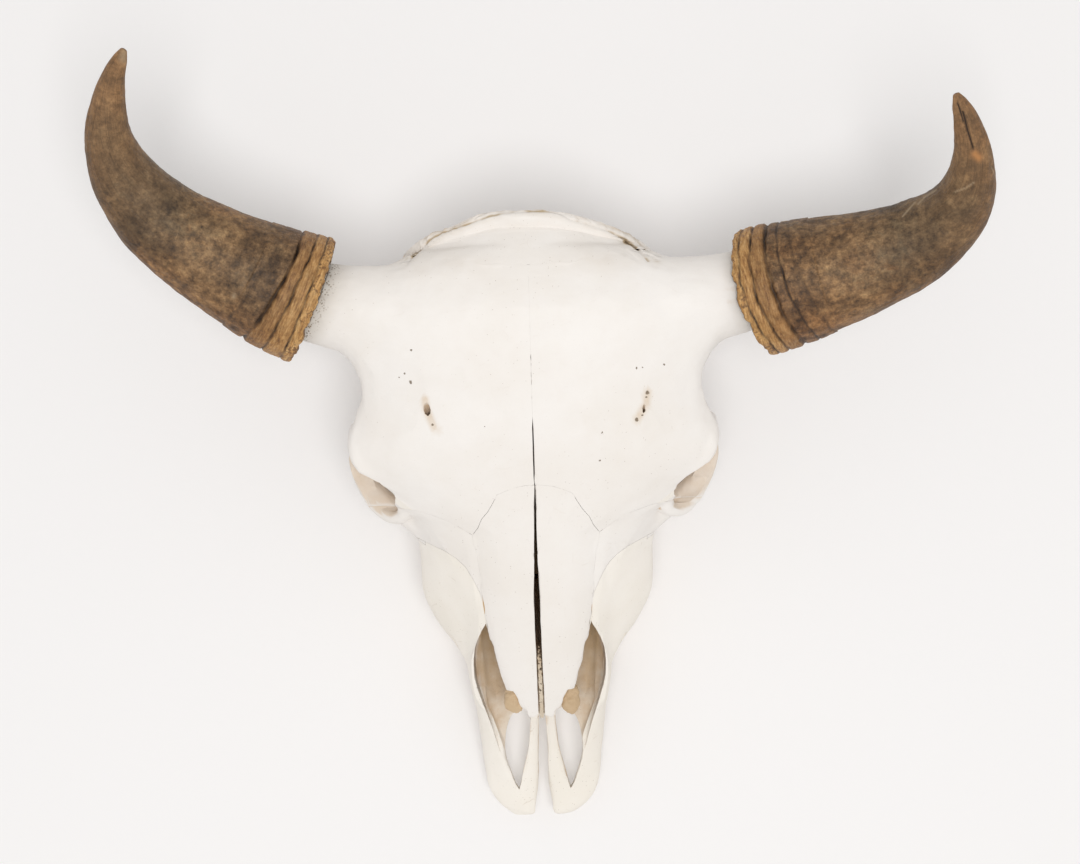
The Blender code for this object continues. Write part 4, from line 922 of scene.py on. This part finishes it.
def sheath(side, word):
    """A closed sheath from the bottom of its socket up the inside wall, over the rim and out to the tip,
    wrapped from a flat grid. A scar is its look, half width, depth and line, seen from above."""
    horn = HORNS[word]
    line = smooth_line([(x, y, z, half, half * HORN_FLATNESS) for x, y, z, half in horn["line"]], 16)
    length = np.concatenate([[0], np.cumsum(np.linalg.norm(np.diff(line[:, :3], axis=0), axis=1))])
    ahead = np.gradient(line[:, :3], axis=0)
    inner = [SOCKET_DEPTH] + list(np.linspace(SOCKET_DEPTH, 2, 12))
    outer = list(np.arange(0, ROOT_LENGTH, ROOT_STEP))
    outer += list(np.arange(ROOT_LENGTH, length[-1], OUTER_STEP)) + [length[-1]]
    rows = [("wall", run) for run in inner] + [("rim", t) for t in (0.1, 0.35, 0.65, 0.9)]
    rows += [("skin", run) for run in outer]

    def way_at(run):
        direction = Vector([np.interp(run, length, ahead[:, i]) for i in range(3)]).normalized()
        across = direction.cross(Vector((0, 0, 1))).normalized()
        row = [np.interp(run, length, line[:, i]) for i in range(5)]
        return Vector(row[:3]) + direction * min(run, 0.0), across, across.cross(direction), row[3], row[4]

    start = Vector(horn["line"][0][:3])
    into = (Vector(horn["line"][2][:3]) - start).normalized()
    bpy.ops.mesh.primitive_grid_add(x_subdivisions=AROUND, y_subdivisions=len(rows) - 1, size=2)
    piece = bpy.context.object
    piece.name = word + "_horn"
    mesh = piece.data
    flat, _ = read_points(mesh)
    values = {name: np.zeros(len(flat)) for name in HORN_MARKS}
    grain = np.zeros((len(flat), 3))
    outward = np.zeros((len(flat), 3))
    columns = np.rint((flat[:, 0] + 1) / 2 * AROUND).astype(int) % AROUND
    lines = np.rint((flat[:, 1] + 1) / 2 * (len(rows) - 1)).astype(int)
    deep, wides, talls = zip(*SOCKET)
    chips = []
    for column in range(AROUND):
        angle = 2 * math.pi * column / AROUND
        turn = 2.2 * math.cos(angle), 2.2 * math.sin(angle)
        chip = 0.5 + wobble(*turn, 5.0 * side, 0.5) + 0.6 * wobble(*turn, 9.0 * side, 0.16)
        lean = round_the_horn(horn["lean"], side * math.cos(angle))
        lean *= min(1.0, max(0.0, 2.5 * math.sin(angle)))
        chips.append(RIM_CHIP * min(1.0, max(0.0, chip)) + lean)
    ways = [way_at(run) if kind == "skin" else None for kind, run in rows]
    for i, (column, number) in enumerate(zip(columns, lines)):
        kind, run = rows[number]
        angle = 2 * math.pi * column / AROUND
        c, s = math.cos(angle), math.sin(angle)
        chip = chips[column]
        if kind == "skin":
            own = run + chip * math.exp(-run / 14)
            centre, across, lift, wide, tall = ways[number] if run > CHIP_REACH else way_at(own)
            height, values["dark"][i], values["ochre"][i] = horn_marks(horn, side, own, angle)
            worn = 1.6 * math.exp(-(own - chip) / 1.1)
            height = height * min(1.0, wide / 16) - 1.0 * (run > CHIP_REACH) - worn
            outward[i] = (across * c + lift * s) * (s * lift.z > 0)
            if number == len(rows) - 1:
                wide = tall = height = 0.0
        else:
            own = run + chip if kind == "wall" else chip
            in_wide, in_tall = (np.interp(own, deep, sizes) for sizes in (wides, talls))
            centre, across, lift, wide, tall = way_at(own)
            if kind == "wall":
                centre = start + into * min(own, SOCKET_DEPTH)
                wide, tall, height = in_wide, in_tall, 0.0
                if number == 0:
                    wide = tall = 0.0
            else:
                wide, tall = in_wide + (wide - in_wide) * run, in_tall + (tall - in_tall) * run
                height = -1.6 * run
                centre = centre - into * 0.8 * math.sin(math.pi * run)
            values["inside"][i] = 1.0 if kind == "wall" else 0.5
        values["run"][i] = own
        values["front"][i] = max(0.0, side * c)
        grain[i] = (c, s, own / 100)
        flat[i] = at(*(centre + across * (wide + height) * c + lift * (tall + height) * s))
    for name, width, depth, scar in horn["scars"]:
        share = np.exp(-((line_distance(in_skull(flat)[:, :2], scar) / width) ** 2))
        share *= np.linalg.norm(outward, axis=1) > 0.5
        values[name] = np.maximum(values[name], share)
        flat -= outward * (depth / 1000 * share)[:, None]
    mesh.vertices.foreach_set("co", flat.ravel())
    for name, array in values.items():
        write_values(mesh, name, array)
    layer = mesh.attributes.new("grain", "FLOAT_VECTOR", "POINT")
    layer.data.foreach_set("vector", grain.astype(np.float32).ravel())
    bpy.ops.object.mode_set(mode="EDIT")
    bpy.ops.mesh.select_all(action="SELECT")
    bpy.ops.mesh.remove_doubles(threshold=0.000001)
    bpy.ops.mesh.normals_make_consistent(inside=False)
    bpy.ops.object.mode_set(mode="OBJECT")
    return piece


# Colours of the horn: its body by weathering, from dark to bleached, the shades along it from rim to tip,
# those of its drifts and clouds, and the root by its hoops
BODY_COLOURS = [
    (0.34, (0.055, 0.036, 0.021)), (0.44, (0.125, 0.083, 0.047)), (0.52, (0.190, 0.131, 0.078)),
    (0.60, (0.250, 0.180, 0.110)), (0.70, (0.360, 0.265, 0.165)),
]
SHADES_ALONG = [
    (0.0, (1.34, 1.26, 1.14)), (0.20, (1.26, 1.19, 1.08)), (0.30, (0.78, 0.78, 0.76)),
    (0.40, (0.80, 0.79, 0.77)), (0.48, (1.18, 1.12, 1.02)), (0.57, (1.75, 1.52, 1.28)),
]
DRIFT_SHADES = [(0.38, (0.80, 0.80, 0.81)), (0.50, (1.0, 1.0, 1.0)), (0.62, (1.16, 1.12, 1.06))]
CLOUD_SHADES = [
    (0.34, (0.55, 0.53, 0.52)), (0.45, (0.80, 0.78, 0.76)), (0.54, (1.0, 0.98, 0.96)),
    (0.62, (0.86, 0.90, 0.93)), (0.70, (1.0, 0.90, 0.80)),
]
ROOT_COLOURS = [
    (0.32, (0.20, 0.10, 0.035)), (0.43, (0.42, 0.235, 0.085)), (0.54, (0.58, 0.365, 0.15)),
    (0.68, (0.76, 0.54, 0.28)),
]
FRONT_WARMTH = (1.06, 0.90, 0.74)
HORN_TONE = (1.34, 1.22, 1.04)
RUGGED_SHADE = (0.52, 0.46, 0.42)
ROOT_TONE = (1.06, 0.95, 0.82)
INNER_RING_SHADE = (0.72, 0.64, 0.58)
TIP_BROWN = (0.30, 0.19, 0.105)
SPLIT_DARK = (0.030, 0.018, 0.010)
CRUMB_DARK = (0.13, 0.06, 0.022)
SCRATCH_PALE = (0.55, 0.42, 0.27)
SCAR_AMBER = (0.52, 0.23, 0.075)
GROOVE_DARK = (0.022, 0.011, 0.006)
SOCKET_BROWN = (0.16, 0.095, 0.05)


def weathered_horn():
    """Sun-bleached keratin: mottled grey-brown with fine lengthwise grain, ochre near the rim and nearly
    black in the grooves between the rings, partly dirt and partly painted shade."""
    material, tree, shader = new_material("weathered_horn", 0.4)
    link = tree.links.new
    place = shader_node(tree, "TexCoord").outputs["Object"]
    marks = {name: noted(tree, name) for name in HORN_MARKS}
    along = noted(tree, "grain", "Vector")
    stretched = scaled(tree, along, (1.0, 1.0, 0.16))
    streaks = pattern(tree, stretched, Scale=24.0, Detail=5.0, Roughness=0.65)["Fac"]
    hairs = pattern(tree, stretched, Scale=75.0, Detail=3.0, Roughness=0.6)["Fac"]
    blotch = pattern(tree, place, Scale=26.0, Detail=6.0, Roughness=0.62, Distortion=0.6)["Fac"]
    speckle = pattern(tree, place, Scale=360.0, Detail=4.0, Roughness=0.65)["Fac"]
    patches = pattern(tree, place, Scale=95.0, Detail=4.0, Roughness=0.6)["Fac"]
    weathering = pattern(tree, place, Scale=130.0, Detail=7.0, Roughness=0.78)["Fac"]
    tint = pattern(tree, place, Scale=17.0, Detail=3.0)["Fac"]
    broad = pattern(tree, place, Scale=15.0, Detail=3.0, Roughness=0.5)["Fac"]

    body = ramp(tree, weathering, BODY_COLOURS)
    shadowy = ramp(tree, times(tree, marks["run"], 0.002), SHADES_ALONG)
    for shades in (shadowy, ramp(tree, broad, DRIFT_SHADES), ramp(tree, blotch, CLOUD_SHADES)):
        body = blend(tree, 1.0, body, shades, "MULTIPLY")
    warm = ramp(tree, tint, [(0.45, 0.0), (0.62, 1.0)])
    warm = times(tree, times(tree, warm, 0.5), times(tree, marks["front"], 0.5), "ADD")
    body = blend(tree, warm, body, FRONT_WARMTH, "MULTIPLY")
    tip = ramp(tree, times(tree, marks["run"], 0.003), [(0.42, 0.0), (0.85, 1.0)])
    body = blend(tree, times(tree, tip, 0.45), body, TIP_BROWN)
    grit = ramp(tree, speckle, [(0.32, 0.4), (0.47, 0.8), (0.64, 1.0)])
    body = blend(tree, 0.6, body, grit, "MULTIPLY")
    worn = ramp(tree, patches, [(0.34, 0.5), (0.5, 0.85), (0.64, 1.0)])
    body = blend(tree, 0.5, body, worn, "MULTIPLY")
    fibre = ramp(tree, streaks, [(0.32, 0.35), (0.52, 0.9), (0.66, 1.0)])
    body = blend(tree, times(tree, times(tree, tip, 0.55), 0.22, "ADD"), body, fibre, "MULTIPLY")
    body = blend(tree, 1.0, body, HORN_TONE, "MULTIPLY")
    rugged = ramp(tree, times(tree, marks["run"], 0.01), [(0.35, 1.0), (0.62, 0.6), (0.85, 0.0)])
    rugged = times(tree, rugged, ramp(tree, patches, [(0.42, 1.0), (0.56, 0.35)]))
    body = blend(tree, times(tree, rugged, 0.75), body, RUGGED_SHADE, "MULTIPLY")

    hooped = scaled(tree, along, (1.0, 1.0, 12.0))
    hoops = pattern(tree, hooped, Scale=5.0, Detail=6.0, Roughness=0.7)["Fac"]
    splits = times(tree, ramp(tree, hoops, [(0.37, 1.0), (0.43, 0.0)]), rugged)
    body = blend(tree, times(tree, splits, 0.7), body, SPLIT_DARK)
    root = ramp(tree, hoops, ROOT_COLOURS)
    inner_rings = ramp(tree, marks["ochre"], [(0.3, 1.0), (0.65, 0.45), (1.0, 0.0)])
    root = blend(tree, 1.0, root, ROOT_TONE, "MULTIPLY")
    root = blend(tree, inner_rings, root, INNER_RING_SHADE, "MULTIPLY")
    root = blend(tree, 0.35, root, grit, "MULTIPLY")
    root = blend(tree, 0.45, root, worn, "MULTIPLY")
    crumbly = ramp(tree, times(tree, marks["ochre"], patches), [(0.45, 0.0), (0.60, 1.0)])
    crumbs = times(tree, crumbly, ramp(tree, speckle, [(0.44, 1.0), (0.52, 0.0)]))
    root = blend(tree, times(tree, crumbs, 0.8), root, CRUMB_DARK)
    rooty = ramp(tree, times(tree, marks["ochre"], times(tree, hoops, 0.5), "ADD"), [
        (0.30, 0.0), (0.55, 0.55), (0.85, 0.85), (1.15, 1.0)])
    colour = blend(tree, rooty, body, root)
    colour = blend(tree, times(tree, marks["pale"], 0.4), colour, SCRATCH_PALE)
    colour = blend(tree, times(tree, marks["amber"], 0.8), colour, SCAR_AMBER)
    # Grooves between the rings and dark cracks: nearly black, in the grooves partly dirt and partly painted
    # shade
    colour = blend(tree, marks["dark"], colour, GROOVE_DARK)
    colour = blend(tree, times(tree, marks["inside"], 0.85), colour, SOCKET_BROWN)
    link(colour, shader.inputs["Base Color"])

    link(times(tree, times(tree, speckle, 0.35), 0.38, "ADD"), shader.inputs["Roughness"])
    height = times(tree, times(tree, hairs, 0.6), streaks, "ADD")
    height = times(tree, height, times(tree, speckle, 0.8), "ADD")
    raise_bumps(tree, shader, height, 0.55, 0.0009)
    return material


horn_skin = weathered_horn()
for side, word in ((-1, "right"), (1, "left")):
    dress(sheath(side, word), "horn_sheath_" + word, horn_skin, 60)


# Floor: a plain sheet of pale matt paper, as in a studio, on which the skull lies on its teeth and the
# two long processes beside the back of the head.

FLOOR_SIZE = 12.0
PAPER = (0.93, 0.915, 0.91, 1)
bpy.ops.object.select_all(action="DESELECT")
bpy.ops.mesh.primitive_plane_add(size=FLOOR_SIZE, location=(0, 0, 0))
floor = bpy.context.object
floor.name = "floor"
paper, _, shader = new_material("pale_paper", 0.1)
shader.inputs["Base Color"].default_value = PAPER
shader.inputs["Roughness"].default_value = 0.9
floor.data.materials.append(paper)


# Light: a wide soft lamp overhead, a little to the nose side, and a bright even room. Sizes are in
# metres in the frame, powers in watts.

ROOM_COLOUR = (1.0, 0.995, 0.985, 1)
ROOM_STRENGTH = 0.62


def soft_lamp(name, place, aim, size, power):
    lamp = bpy.data.lights.new(name, "AREA")
    lamp.shape = "DISK"
    lamp.size = size
    lamp.energy = power
    holder = bpy.data.objects.new(name, lamp)
    bpy.context.scene.collection.objects.link(holder)
    holder.location = place
    holder.rotation_euler = (Vector(aim) - Vector(place)).to_track_quat("-Z", "Y").to_euler()


soft_lamp("key_lamp", (0.15, -0.55, 4.2), (0, 0, 0.1), 1.7, 71)
room = bpy.data.worlds.new("room")
room.use_nodes = True
room.node_tree.nodes["Background"].inputs["Color"].default_value = ROOM_COLOUR
room.node_tree.nodes["Background"].inputs["Strength"].default_value = ROOM_STRENGTH
bpy.context.scene.world = room
bpy.context.scene.view_settings.view_transform = "Standard"


# Camera: straight above the skull and turned a little. It is 2.2 metres over the floor, which gives the
# slight narrowing of what lies lower.

CAMERA_SPOT = (5.9, 351.4, 2200.0)
CAMERA_TURN = -1.6
camera = bpy.data.cameras.new("camera")
camera.sensor_width = 36.0
camera.lens = 79.1
camera_holder = bpy.data.objects.new("camera", camera)
bpy.context.scene.collection.objects.link(camera_holder)
camera_holder.location = at(*CAMERA_SPOT)
camera_holder.rotation_euler = (0, 0, math.radians(CAMERA_TURN))
bpy.context.scene.camera = camera_holder
